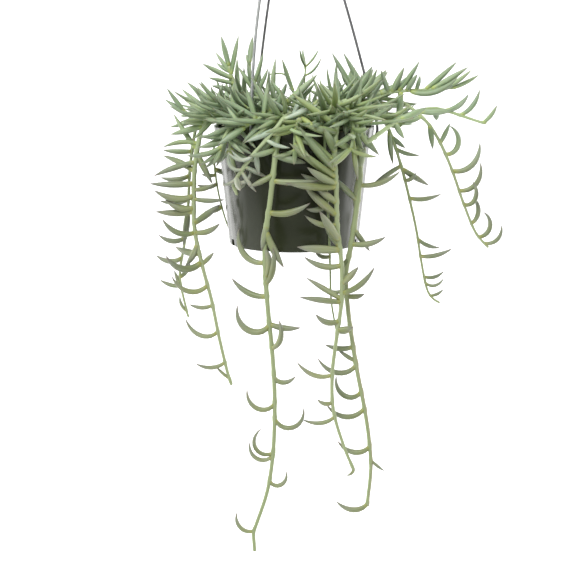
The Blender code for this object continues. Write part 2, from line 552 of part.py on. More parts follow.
def leaf_swell(t):
    """A leaf's width at a share of its length, as a share of its full width: stalk, belly and fine point."""
    if t >= 1:
        return 0.0
    belly = math.sin(math.pi * t**0.8) ** 0.7 if t > 0 else 0.0
    return min(1.0, belly + 0.3 * (1 - t) ** 10)


def leaf_steps(leaf):
    """The steps along a leaf that get a ring: the more it curls, the more, and a wide leaf has a few."""
    rank = sum(abs(leaf.curl) > limit for limit in RING_LIMITS)
    return LEAF_RINGS[max(rank, leaf.width > WIDE_LEAF)]


def leaf_balls(leaf):
    """Balls along a leaf's few-sided shape."""
    middle, _ = leaf_middle(leaf)
    steps = leaf_steps(leaf)
    spots = chain([middle[s] for s in steps], leaf.length / 14)
    runs = np.append(0, np.cumsum(np.linalg.norm(np.diff(spots, axis=0), axis=1)))
    sizes = [leaf_swell(run / runs[-1]) * leaf.width / 2 for run in runs]
    return spots, np.array(sizes)


def across(side, along):
    """The part of a direction that is square to the stem, or any square one where nothing is left of it."""
    flat = side - along * side.dot(along)
    if flat.length < 0.2:
        flat = along.orthogonal()
    return flat.normalized()


def rising(start, spare):
    """The way a leaf curls: square to its start and up, or along the spare way where the start is upright."""
    rise = SKY - start * start.z
    if rise.length < UPRIGHT:
        rise = spare - start * start.dot(spare)
    return rise.normalized()


def spiral_leaves(strand, stem, rng):
    """Leaves up a leafy stretch of stem, each a golden angle round, and a tuft at a free end."""
    spots = []
    run = strand.leafy[0]
    turn = rng.uniform(0, math.tau)
    last = min(strand.leafy[1], stem.length - 2)
    while run < last:
        spots.append((run, turn, 1.0, 0.0))
        run += strand.pitch * rng.uniform(0.85, 1.15)
        turn += GOLDEN_ANGLE + rng.uniform(-0.7, 0.7)
    if strand.leafy[1] > stem.length:
        spots += [(stem.length - END_INSET, turn + math.tau * k / 3, 0.85, TUFT_LEAN) for k in range(3)]
    leaves = []
    for run, turn, share, closer in spots:
        root, along = stem.place(run)
        t = run / stem.length
        out = Quaternion(along, turn) @ across(SKY.cross(along), along)
        lean = math.radians(mix(strand.lean, t) - closer + rng.uniform(-LEAN_SPREAD, LEAN_SPREAD))
        start = out * math.sin(lean) + along * math.cos(lean)
        start = Vector((start.x, start.y, start.z * strand.flat)).normalized()
        length = mix(strand.length, t) * share * rng.uniform(0.75, 1.15)
        width = mix(strand.width, t) * (0.5 + 0.5 * share) * rng.uniform(0.9, 1.1)
        curl = mix(strand.curl, t) + rng.uniform(*CURL_SPREAD)
        leaves.append((run, Leaf(root, start, rising(start, out), length, width, curl)))
    return leaves


def marked_leaves(strand, stem, rng):
    """The leaves seen one by one on a strand, each swung a little towards the front or the back."""
    fuller = STRAND_FULLER if strand in STRANDS else CROWN_FULLER
    leaves = []
    for level, angle, curl, length, width in MARKED.get(strand.name, ()):
        run = min(stem.run_at(strand.level_axis, level), stem.length - END_INSET)
        root, _ = stem.place(run)
        turn = math.radians(angle)
        swing = Quaternion(SKY, rng.uniform(-MARK_SWING, MARK_SWING))
        start = swing @ Vector((math.cos(turn), 0, math.sin(turn)))
        side = swing @ Vector((math.copysign(1, math.cos(turn)), 0, 0))
        leaves.append((run, Leaf(root, start, rising(start, side), length, width * fuller, curl)))
    return leaves


def grow_leaves(wishes, stem, owner, crowd):
    """Give a stem its leaves, each turned or shortened until it is clear of what is already there."""
    leaves = []
    for run, wanted in wishes:
        _, along = stem.place(run)
        for turn, cut in LEAF_TRIES:
            about = Quaternion(along, math.radians(turn))
            start = about @ wanted.start
            rise = rising(start, about @ wanted.rise)
            leaf = wanted._replace(start=start, rise=rise, length=wanted.length * cut)
            balls, sizes = leaf_balls(leaf)
            own = len(balls) // 3
            if not crowd.is_clear(balls, sizes, (owner, owner + OWN_LEAVES), CLEAR):
                continue
            if not crowd.is_clear(balls[own:], sizes[own:], (owner,), OWN_CLEAR):
                continue
            crowd.add(balls[own:], sizes[own:], owner + OWN_LEAVES)
            crowd.add(balls[:own], sizes[:own], owner)
            leaves.append(leaf)
            break
    return leaves


def mix(pair, share):
    return pair[0] + (pair[1] - pair[0]) * share


def plan_plant():
    """Every strand with its stem and its leaves, all clear of each other, of the pot and of the hanger."""
    strands = STRANDS + CROWN
    wires = [chain(wire_path(*bows), 3.0) for bows in WIRE_BOWS.values()]
    lines = [smooth(strand.route, EASE_STEP) for strand in strands]
    radii = [np.linspace(*strand.stem, len(line)) for strand, line in zip(strands, lines)]
    near = np.concatenate(wires)
    lines = ease_apart(lines, radii, near[near[:, 2] < 120])
    stems = [Stem(thin_out(line), strand.stem) for strand, line in zip(strands, lines)]
    crowd = Crowd()
    for k, stem in enumerate(stems):
        spots, sizes = stem.balls(2.5)
        crowd.add(spots, sizes, k)
    for wire in wires:
        crowd.add(wire, np.full(len(wire), WIRE_RADIUS), -1)
    leaves = [[] for _ in stems]
    for choose in (marked_leaves, spiral_leaves):
        for k, (strand, stem) in enumerate(zip(strands, stems)):
            wishes = choose(strand, stem, random.Random(strand.name + choose.__name__))
            leaves[k] += grow_leaves(wishes, stem, k, crowd)
    return list(zip(strands, stems, leaves))


def material(name, colour, roughness, metallic=0.0):
    made = bpy.data.materials.new(name)
    made.use_nodes = True
    shader = made.node_tree.nodes["Principled BSDF"]
    shader.inputs["Base Color"].default_value = (*colour, 1)
    shader.inputs["Roughness"].default_value = roughness
    shader.inputs["Metallic"].default_value = metallic
    return made


def mesh_object(name, bm, smooth_shaded=True):
    """An object from a mesh in millimetres, hung from the empty that carries the pot's frame."""
    bmesh.ops.recalc_face_normals(bm, faces=bm.faces)
    bm.transform(Matrix.Scale(MM, 4))
    mesh = bpy.data.meshes.new(name)
    bm.to_mesh(mesh)
    bm.free()
    for face in mesh.polygons:
        face.use_smooth = smooth_shaded
    made = bpy.data.objects.new(name, mesh)
    bpy.context.scene.collection.objects.link(made)
    made.parent = bpy.data.objects[POT_FRAME]
    return made


def bridge(bm, rings, closed=True):
    """Walls between neighbouring rings of points, and a cap on each end of the row."""
    for below, above in zip(rings, rings[1:]):
        count = len(below)
        for i in range(count):
            j = (i + 1) % count
            if len(above) == 1:
                bm.faces.new((below[i], below[j], above[0]))
            else:
                bm.faces.new((below[i], below[j], above[j], above[i]))
    if closed:
        bm.faces.new(rings[0][::-1])
        if len(rings[-1]) > 2:
            bm.faces.new(rings[-1])


def lathe(name, profile, segments):
    """A body turned about the pot's axis from a closed outline of radii and heights."""
    bm = bmesh.new()
    columns = []
    for i in range(segments):
        angle = math.tau * i / segments
        turned = []
        for radius, height in profile:
            if radius == 0:
                turned.append(columns[0][len(turned)] if columns else bm.verts.new((0, 0, height)))
            else:
                turned.append(bm.verts.new((radius * math.cos(angle), radius * math.sin(angle), height)))
        columns.append(turned)
    for here, there in zip(columns, columns[1:] + columns[:1]):
        for k in range(len(profile)):
            n = (k + 1) % len(profile)
            corners = list(dict.fromkeys((here[k], there[k], there[n], here[n])))
            if len(corners) > 2:
                bm.faces.new(corners)
    return mesh_object(name, bm)


def tube_rings(bm, points, radii, sides):
    """Rings of points round a path, each square to the path there and none twisted against the last."""
    rings = []
    ways = [b - a for a, b in zip(points, points[1:])]
    normal = ways[0].orthogonal().normalized()
    for i, (point, radius) in enumerate(zip(points, radii)):
        before = ways[max(0, i - 1)].normalized()
        after = ways[min(i, len(ways) - 1)].normalized()
        along = (before + after).normalized()
        normal = (normal - along * normal.dot(along)).normalized()
        cross = along.cross(normal)
        ring = []
        for k in range(sides):
            angle = math.tau * k / sides
            ring.append(bm.verts.new(point + (normal * math.cos(angle) + cross * math.sin(angle)) * radius))
        rings.append(ring)
    return rings


def tube(name, points, radii, sides):
    bm = bmesh.new()
    bridge(bm, tube_rings(bm, points, radii, sides))
    return mesh_object(name, bm)


def leaf_object(name, leaf, root_radius):
    """A leaf's few-sided body: its root ring stands on the stem's axis, inside the stem."""
    bm = bmesh.new()
    middle, wide = leaf_middle(leaf)
    steps = leaf_steps(leaf)
    rings = []
    for step in steps[:-1]:
        along = (middle[step + 1] - middle[max(0, step - 1)]).normalized()
        deep = wide.cross(along).normalized()
        half = leaf.width / 2 * leaf_swell(step / LEAF_STEPS)
        if step == 0:
            half = min(half, root_radius)
        ring = []
        for k in range(LEAF_SIDES):
            angle = math.tau * (k + 0.5) / LEAF_SIDES
            offset = wide * math.cos(angle) * half + deep * math.sin(angle) * half * LEAF_DEPTH
            ring.append(bm.verts.new(middle[step] + offset * SQUARE_SWELL))
        rings.append(ring)
    rings.append([bm.verts.new(middle[-1])])
    bridge(bm, rings)
    return mesh_object(name, bm)


def combine(target, parts, operation):
    """Join the parts to the target, or cut them from it, by one Boolean; the parts are then removed."""
    group = bpy.data.collections.new(target.name + "_parts")
    bpy.context.scene.collection.children.link(group)
    for part in parts:
        bpy.context.scene.collection.objects.unlink(part)
        group.objects.link(part)
        part.hide_render = True
        part.display_type = "WIRE"
    boolean = target.modifiers.new("combine", "BOOLEAN")
    boolean.operation = operation
    boolean.operand_type = "COLLECTION"
    boolean.collection = group
    boolean.solver = "EXACT"
    graph = bpy.context.evaluated_depsgraph_get()
    result = bpy.data.meshes.new_from_object(target.evaluated_get(graph))
    target.modifiers.remove(boolean)
    old = target.data
    target.data = result
    result.name = target.name
    bpy.data.meshes.remove(old)
    for part in parts:
        bpy.data.objects.remove(part)
    bpy.data.collections.remove(group)


def finish(target, made_material):
    target.data.materials.clear()
    target.data.materials.append(made_material)
    return target


def rod(name, start, end, radius, sides):
    return tube(name, [Vector(start), Vector(end)], [radius, radius], sides)


def make_pot(paint):
    """A thin tapered shell with a taller, slightly wider collar round its top and a rolled lip."""
    lip = RIM_RADIUS - LIP_RADIUS
    inner_collar = RIM_BOTTOM_RADIUS - WALL
    profile = [(0, -POT_HEIGHT), (BASE_RADIUS - 2, -POT_HEIGHT), (BASE_RADIUS, -POT_HEIGHT + 2)]
    profile += [(SHOULDER_RADIUS, -RIM_HEIGHT - 1), (RIM_BOTTOM_RADIUS, -RIM_HEIGHT)]
    profile += [(RIM_RADIUS - 0.35, -2 * LIP_RADIUS - 0.6)]
    for i in range(5):
        angle = math.radians(-20 + 55 * i)
        profile.append((lip + LIP_RADIUS * math.cos(angle), -LIP_RADIUS + LIP_RADIUS * math.sin(angle)))
    profile += [(RIM_RADIUS - WALL - 0.5, -2 * LIP_RADIUS - 0.6), (inner_collar, -RIM_HEIGHT + 1)]
    profile += [(SHOULDER_RADIUS - WALL, -RIM_HEIGHT - 1.5)]
    profile += [(BASE_RADIUS - WALL, -POT_HEIGHT + FLOOR), (0, -POT_HEIGHT + FLOOR)]
    pot = lathe("pot", profile, POT_SEGMENTS)
    cutters = []
    for i in range(DRAIN_HOLES):
        angle = math.tau * (i + 0.5) / DRAIN_HOLES
        way = Vector((math.cos(angle), math.sin(angle), 0))
        at = way * (BASE_RADIUS - DRAIN_RADIUS / 2)
        below = at - SKY * (POT_HEIGHT + 4)
        cutters.append(rod(f"drain_{i}", below, below + SKY * 11, DRAIN_RADIUS, 10))
    for side, (angle, _, _) in WIRE_BOWS.items():
        way = Vector((math.cos(math.radians(angle)), math.sin(math.radians(angle)), 0))
        start = way * (RIM_RADIUS - 8) - SKY * WIRE_HOLE_DROP
        cutters.append(rod(f"wire_hole_{side}", start, start + way * 14, WIRE_HOLE_RADIUS, 10))
    combine(pot, cutters, "DIFFERENCE")
    return finish(pot, paint)


def soil_height(x, y):
    """The soil's top dips a little here and there and is nowhere over its stated height."""
    waves = math.sin(x / 9.0 + 1.3) + math.sin(y / 7.0 + x / 16.0) + math.sin((x - y) / 5.5)
    return SOIL_TOP - 0.9 + waves * 0.25


def make_soil(paint, plants):
    """A plug of soil that fills the pot nearly to its collar, with a plain hole for each stem."""
    floor = -POT_HEIGHT + FLOOR + SOIL_GAP
    bm = bmesh.new()
    rings = [[bm.verts.new((0, 0, floor))]]
    base = BASE_RADIUS - WALL - SOIL_GAP - 0.1
    top = SHOULDER_RADIUS - WALL - SOIL_GAP - 0.6
    outline = [(base, floor), (top, SOIL_TOP - 2.5), (top - 1.5, None)]
    outline += [(top * share, None) for share in (0.66, 0.33)]
    for radius, height in outline:
        ring = []
        for i in range(SOIL_SEGMENTS):
            x = radius * math.cos(math.tau * i / SOIL_SEGMENTS)
            y = radius * math.sin(math.tau * i / SOIL_SEGMENTS)
            ring.append(bm.verts.new((x, y, soil_height(x, y) if height is None else height)))
        rings.append(ring)
    rings.append([bm.verts.new((0, 0, soil_height(0, 0)))])
    fan = rings[0][0]
    for i in range(SOIL_SEGMENTS):
        bm.faces.new((rings[1][i], fan, rings[1][(i + 1) % SOIL_SEGMENTS]))
    bridge(bm, rings[1:], closed=False)
    soil = mesh_object("soil", bm)
    cutters = []
    for strand, stem, _ in plants:
        foot = stem.points[0]
        bottom = foot - SKY * (ROOT_DEPTH + ROOT_CLEARANCE)
        cutters.append(rod(f"root_{strand.name}", bottom, foot + SKY * 6, strand.stem[0] + ROOT_CLEARANCE, 6))
    combine(soil, cutters, "DIFFERENCE")
    return finish(soil, paint)


def make_sleeve(paint):
    """The crimp sleeve: the three wires stand in its foot and the hook's shank in its top."""
    foot = WIRE_TOP
    sleeve = rod("sleeve", (0, 0, foot), (0, 0, foot + SLEEVE_HEIGHT), SLEEVE_RADIUS, 20)
    cutters = []
    for side, (angle, _, _) in WIRE_BOWS.items():
        way = Vector((math.cos(math.radians(angle)), math.sin(math.radians(angle)), 0)) * WIRE_SPREAD
        bore = way + SKY * (foot - 1)
        depth = SKY * (WIRE_SUNK + 1 + BORE_GAP)
        cutters.append(rod(f"bore_{side}", bore, bore + depth, WIRE_RADIUS + BORE_GAP, 10))
    top = foot + SLEEVE_HEIGHT
    bore = (0, 0, top - HOOK_SUNK - BORE_GAP)
    cutters.append(rod("bore_hook", bore, (0, 0, top + 1), HOOK_RADIUS + BORE_GAP, 12))
    combine(sleeve, cutters, "DIFFERENCE")
    return finish(sleeve, paint)


def make_hook(paint):
    """A plain open hook: its shank leaves the sleeve, swings out and turns over the top."""
    top = WIRE_TOP + SLEEVE_HEIGHT
    middle = HANG_HEIGHT + HOOK_RADIUS - CROOK_RADIUS
    points = [Vector((0, 0, top - HOOK_SUNK)), Vector((0, 0, top + 4))]
    swing = [(0.06, 0.25), (0.3, 0.5), (0.7, 0.75), (0.94, 0.92)]
    for out, up in swing:
        points.append(Vector((CROOK_RADIUS * out, 0, top + 4 + (middle - top - 4) * up)))
    for i in range(12):
        angle = math.radians(215 * i / 11)
        points.append(Vector((CROOK_RADIUS * math.cos(angle), 0, middle + CROOK_RADIUS * math.sin(angle))))
    hook = tube("hook", points, [HOOK_RADIUS] * len(points), 8)
    return finish(hook, paint)


def make_wires(paints):
    for side, bows in WIRE_BOWS.items():
        points = wire_path(*bows)
        wire = tube(f"wire_{side}", points, [WIRE_RADIUS] * len(points), WIRE_SIDES)
        finish(wire, paints[side])


def make_strand(strand, stem, leaves, paint):
    """A stem, rooted in its hole, with its leaves grown into it."""
    points = [stem.points[0] - SKY * ROOT_DEPTH, *stem.points]
    radii = [strand.stem[0], *(stem.radius(run) for run in stem.runs)]
    sides = THIN_STEM_SIDES if strand.stem[0] < THIN_STEM else STEM_SIDES
    body = tube(strand.name, points, radii, sides)
    parts = []
    for i, leaf in enumerate(leaves):
        parts.append(leaf_object(f"leaf_{i}", leaf, min(strand.stem) * 0.6))
    combine(body, parts, "UNION")
    return finish(body, paint)


def main():
    for existing in list(bpy.data.objects):
        bpy.data.objects.remove(existing)
    frame = bpy.data.objects.new(POT_FRAME, None)
    frame.location.z = -HANG_HEIGHT * MM
    bpy.context.scene.collection.objects.link(frame)
    plants = plan_plant()
    make_pot(material("pot_plastic", (0.028, 0.032, 0.026), 0.25))
    make_soil(material("soil_earth", (0.03, 0.022, 0.016), 0.95), plants)
    make_sleeve(material("sleeve_metal", (0.3, 0.3, 0.31), 0.35, 1.0))
    make_hook(material("hook_metal", (0.32, 0.32, 0.33), 0.35, 1.0))
    make_wires({
        "right": material("wire_right_metal", (0.12, 0.12, 0.13), 0.4, 1.0),
        "back": material("wire_back_metal", (0.12, 0.12, 0.13), 0.4, 1.0),
        "front": material("wire_front_metal", (0.5, 0.5, 0.5), 0.4, 1.0),
    })
    for strand, stem, leaves in plants:
        green = material(strand.name + "_green", (0.24, 0.36, 0.22), 0.5)
        make_strand(strand, stem, leaves, green)


main()
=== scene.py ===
"""The looks of the potted string of fishhooks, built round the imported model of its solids.

Sizes are in millimetres through MM. The pot's own frame has its origin on the pot's axis in the plane of
the rim's top, +X to the right, -Y to the front and +Z up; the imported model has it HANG_HEIGHT lower. The
plant is planned here just as it is for the solids, and then drawn with rounder stems and leaves.
"""

import math
import random
from collections import namedtuple

import bmesh
import bpy
import numpy as np
from mathutils import Matrix, Quaternion, Vector, noise


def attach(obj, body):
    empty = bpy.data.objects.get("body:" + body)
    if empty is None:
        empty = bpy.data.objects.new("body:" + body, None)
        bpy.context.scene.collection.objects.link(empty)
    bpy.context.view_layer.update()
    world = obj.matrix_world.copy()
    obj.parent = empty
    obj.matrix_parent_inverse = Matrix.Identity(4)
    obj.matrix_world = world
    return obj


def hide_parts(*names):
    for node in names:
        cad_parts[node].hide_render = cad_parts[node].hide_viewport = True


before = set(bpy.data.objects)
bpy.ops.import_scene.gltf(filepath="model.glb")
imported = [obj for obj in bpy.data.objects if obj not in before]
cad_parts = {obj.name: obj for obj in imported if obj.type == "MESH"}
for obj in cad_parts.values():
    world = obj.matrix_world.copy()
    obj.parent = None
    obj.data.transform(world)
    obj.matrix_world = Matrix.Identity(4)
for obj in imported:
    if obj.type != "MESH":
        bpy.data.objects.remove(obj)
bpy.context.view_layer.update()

MM = 0.001

# Pot
RIM_RADIUS = 79.5
RIM_BOTTOM_RADIUS = 77.5
RIM_HEIGHT = 20.0
SHOULDER_RADIUS = 74.5
BASE_RADIUS = 65.0
POT_HEIGHT = 118.0
WALL = 1.5
LIP_RADIUS = 1.6
FLOOR = 2.0
DRAIN_HOLES = 8
DRAIN_RADIUS = 4.0
DRAIN_SIDES = 24
# how far below the base the bar that cuts a drain hole starts, and its length
DRAIN_CUT = (4.0, 11.0)
LIP_STEPS = 12
POT_SEGMENTS = 144

# Soil: on top of its plug, whose edge slopes down to the pot, lie crumbs of bark and a few white grains
SOIL_TOP = -20.5
SOIL_GAP = 0.35
SOIL_EDGE = 2.5
SOIL_SEGMENTS = 160
SOIL_RINGS = 46
ROOT_DEPTH = 12.0
CRUMBS = 320
CRUMB_SIZES = (0.9, 2.6)
WHITE_SHARE = 0.08

# Hanger
WIRE_RADIUS = 1.4
WIRE_HOLE_DROP = 14.0
WIRE_HOLE_RADIUS = 1.9
# how far inside the rim the bar that cuts a wire's hole starts, and its length
WIRE_HOLE_CUT = (8.0, 14.0)
BORE_SIDES = 20
WIRE_TOP = 255.0
WIRE_SUNK = 9.0
WIRE_SPREAD = 2.4
WIRE_SIDES = 16
WIRE_STEPS = 5
# the spacing of the rings of a wire or of the hook, and the share of its radius that its ends have
BAR_STEP = 1.6
BAR_END = 0.7
# where a wire passes the rim, out from the collar and up from the rim
WIRE_FOOT = (0.7, 3.0)
# where its end runs from there and in through its hole: out from the collar, and down from the rim
WIRE_END = ((0.7, 10.0), (0.3, 12.8), (-0.9, 14.0), (-6.3, 14.0), (-7.5, 12.8), (-7.9, 10.5), (-7.9, 6.5))
# each wire's angle round the pot, and how far it bows off the straight line at its middle, in x and y
WIRE_BOWS = {"right": (0, 4, 0), "back": (120, -3, 4), "front": (240, -10, -6)}
SLEEVE_RADIUS = 5.2
SLEEVE_HEIGHT = 17.0
SLEEVE_EDGE = 0.6
SLEEVE_SEGMENTS = 48
# where the sleeve is pressed in, as shares of its height, and the outline there: height and depth
CRIMPS = (0.3, 0.7)
CRIMP_OUTLINE = ((-2, 0), (-1.2, 0.35), (0, 0.5), (1.2, 0.35), (2, 0))
BORE_GAP = 0.3
HOOK_RADIUS = 1.5
HOOK_SUNK = 5.0
SHANK_RISE = 4.0
# how the hook swings out from its shank to its crook, as shares of the way out and of the way up
HOOK_SWING = ((0.06, 0.25), (0.3, 0.5), (0.7, 0.75), (0.94, 0.92))
CROOK_RADIUS = 11.0
CROOK_TURN = 215.0
CROOK_STEPS = 11
HANG_HEIGHT = 308.0
SHARP_ANGLE = 35.0

# View: degrees, millimetres in the pot's frame, and the focal length as a share of the image's width
VIEW_TILT = 11.3
VIEW_TARGET = (-7, 0, -164)
VIEW_DISTANCE = 1275.0
VIEW_FOCAL = 1255 / 574
SENSOR = 36.0

# Stage and light: metres in the model's frame, and watts
STAGE_FRONT = -0.8
STAGE_BACK = 2.2
STAGE_BEND = 1.0
STAGE_FLOOR = -1.15
STAGE_TOP = 2.6
STAGE_SIDE = 3.5
STAGE_GLOW = 0.32
WORLD_STRENGTH = 0.64
LIGHT_TARGET = (0, 0, -0.4)
LIGHTS = (
    ("key", (-0.6, -1.5, 1.3), (1.2, 1.2), 54),
    ("left_panel", (-1.45, 0.8, -0.3), (1.7, 1.8), 23),
    ("right_panel", (1.45, 0.8, -0.3), (1.7, 1.8), 29),
)

# Foliage, as it is for the solids: the steps of a route's curve from point to point and of a leaf, and how
# many balls about stand for a leaf
CURVE_STEPS = 16
LEAF_STEPS = 24
LEAF_BALLS = 14
# how much faster than evenly a leaf curls near its root
EARLY_CURL = 0.4
# the steps along a leaf that get a ring, for leaves that curl less than the first limit, the second, and more
LEAF_RINGS = ((0, 9, 24), (0, 6, 15, 24), (0, 5, 11, 17, 24))
RING_LIMITS = (34.0, 90.0)
WIDE_LEAF = 7.4
# a stem gets a point where it has turned this much, in degrees, or run this far
STEM_TURN = 17.0
STEM_REACH = 32.0
# the tuft at a stem's end: its leaves' share of the others' length, and how much closer to the stem's line
# they stand, in degrees
TUFT_SHARE = 0.85
TUFT_LEAN = 14.0
# how far the leaves of a leafy stretch vary: in radians round the stem, in degrees, and as shares
TURN_SPREAD = 0.7
LEAN_SPREAD = 18.0
CURL_SPREAD = (-16.0, 26.0)
PITCH_SPREAD = (0.85, 1.15)
LENGTH_SPREAD = (0.75, 1.15)
WIDTH_SPREAD = (0.9, 1.1)
# how far a leaf that is marked from the front may swing towards the front or the back, in radians
MARK_SWING = 0.3
# the marked widths were read low on the hanging strands
STRAND_FULLER = 1.3
# how short the upward part square to a leaf's start is when the start counts as upright
UPRIGHT = 0.25
# how far inside a stem's end the leaves there are rooted
END_INSET = 0.6
# how the stems are bent clear of each other: the points' spacing, the number of pushes and the room wanted
EASE_STEP = 4.0
EASE_ROUNDS = 36
EASE_CLEAR = 1.5
# the spacing of the balls that stand for the stems and the wires, and how high up the wires matter to a stem
STEM_BALLS = 2.5
WIRE_BALLS = 3.0
WIRE_REACH = 120.0
# the room a leaf keeps from every other node
CLEAR = 0.7
# leaves of one stem may press into each other by this much, because they are one body
OWN_CLEAR = -1.2
# added to a stem's number, this tells the outer parts of its leaves from the rest in a crowd
OWN_LEAVES = 1000
# what a leaf tries until it is clear of the others: degrees of turn about the stem, and a share of its length
LEAF_TRIES = ((0, 1.0), (15, 1.0), (-15, 1.0), (30, 0.95), (-30, 0.95), (0, 0.8), (50, 0.9), (-50, 0.9),
              (20, 0.7), (-20, 0.7), (80, 0.8), (-80, 0.8), (0, 0.55), (120, 0.7), (-120, 0.7), (180, 0.6))
GOLDEN_ANGLE = math.radians(137.5)
SKY = Vector((0, 0, 1))

# Foliage, for the looks alone
RING_STEPS = (0, 1, 2, 3, 5, 7, 9, 11, 13, 15, 17, 19, 21, 22, 23)
LEAF_SIDES = 12
STEM_SIDES = 10
STEM_STEP = 3.0
# how much a stem swells where a leaf leaves it, and over what length
NODE_SWELL = 0.28
NODE_REACH = 2.6
# how deep the line along a leaf's upper side is, as a share of its thickness, and how wide it is in radians
GROOVE = 0.12
GROOVE_REACH = 0.4
# a leaf's thickness as a share of its width, and how far it sways sideways as a share of its length
LEAF_DEPTH = 0.94
LEAF_SWAY = 0.016
PALE_STRAND = "crown_front"
# how lime-green the yellowest leaves of a strand may be
LIME_LEAVES = {"strand_front_middle": 0.5, "crown_drop_1": 0.9, "crown_centre_4": 0.5, "crown_right_2": 0.6,
               "strand_front_right": 0.3, "strand_front_left": 0.3, "strand_left": 0.3}
# between which heights, in metres, the crown's colour passes to the more olive one of the hanging strands
HANGING = (-0.365, -0.305)
OLDER = (0.70, 0.62, 0.585)
STEM_OLDER = (0.75, 0.72, 0.70)
# what a leaf greys to towards its tip
WEATHERED = (0.19, 0.205, 0.165)
# the leaves that fill the middle of the crown: their spacing, their share of the others' width, how flat they
# lie, the room they keep, how high up and how far out they are rooted, and the turns that each tries
FILL_PITCH = 6.0
FILL_WIDTH = 0.76
FILL_FLAT = 0.5
FILL_CLEAR = 0.15
FILL_TOP = 20.0
FILL_REACH = 92.0
FILL_TURNS = (0, 20, -20, 45, -45, 80, -80, 130)

Leaf = namedtuple("Leaf", "root start rise length width curl")

# One rooted stem: where it runs, its marked leaves, which stretch of it is leafy, its radii, how the length,
# width, curl and lean of the other leaves change along it, their spacing, and how flat they lie. The marked
# leaves were seen one by one. Each has the level at which it leaves its stem, a height in the pot's frame or,
# where level_axis is 0, a distance to the right; the angle it leaves at as seen from the front; how far it
# curls up; its length and its width.
Strand = namedtuple(
    "Strand", "name route marked leafy stem length width curl lean pitch flat level_axis",
    defaults=((), (16, 999), (2.0, 1.3), (52, 44), (6.3, 5.5), (8, 30), (48, 32), 8.8, 0.5, 2))

# the strands behind the pot, which the front view hides
BEHIND = dict(leafy=(20, 999), length=(40, 24), width=(7, 4.6), curl=(10, 110), lean=(60, 80), pitch=26)
BEHIND_CROWN = dict(length=(42, 38), pitch=15)
# the sprigs that lie over the rim, with their leaves more across than up
OVER_RIM = dict(flat=0.35, width=(6.2, 5.4), curl=(-4, 10), lean=(60, 40), pitch=11)

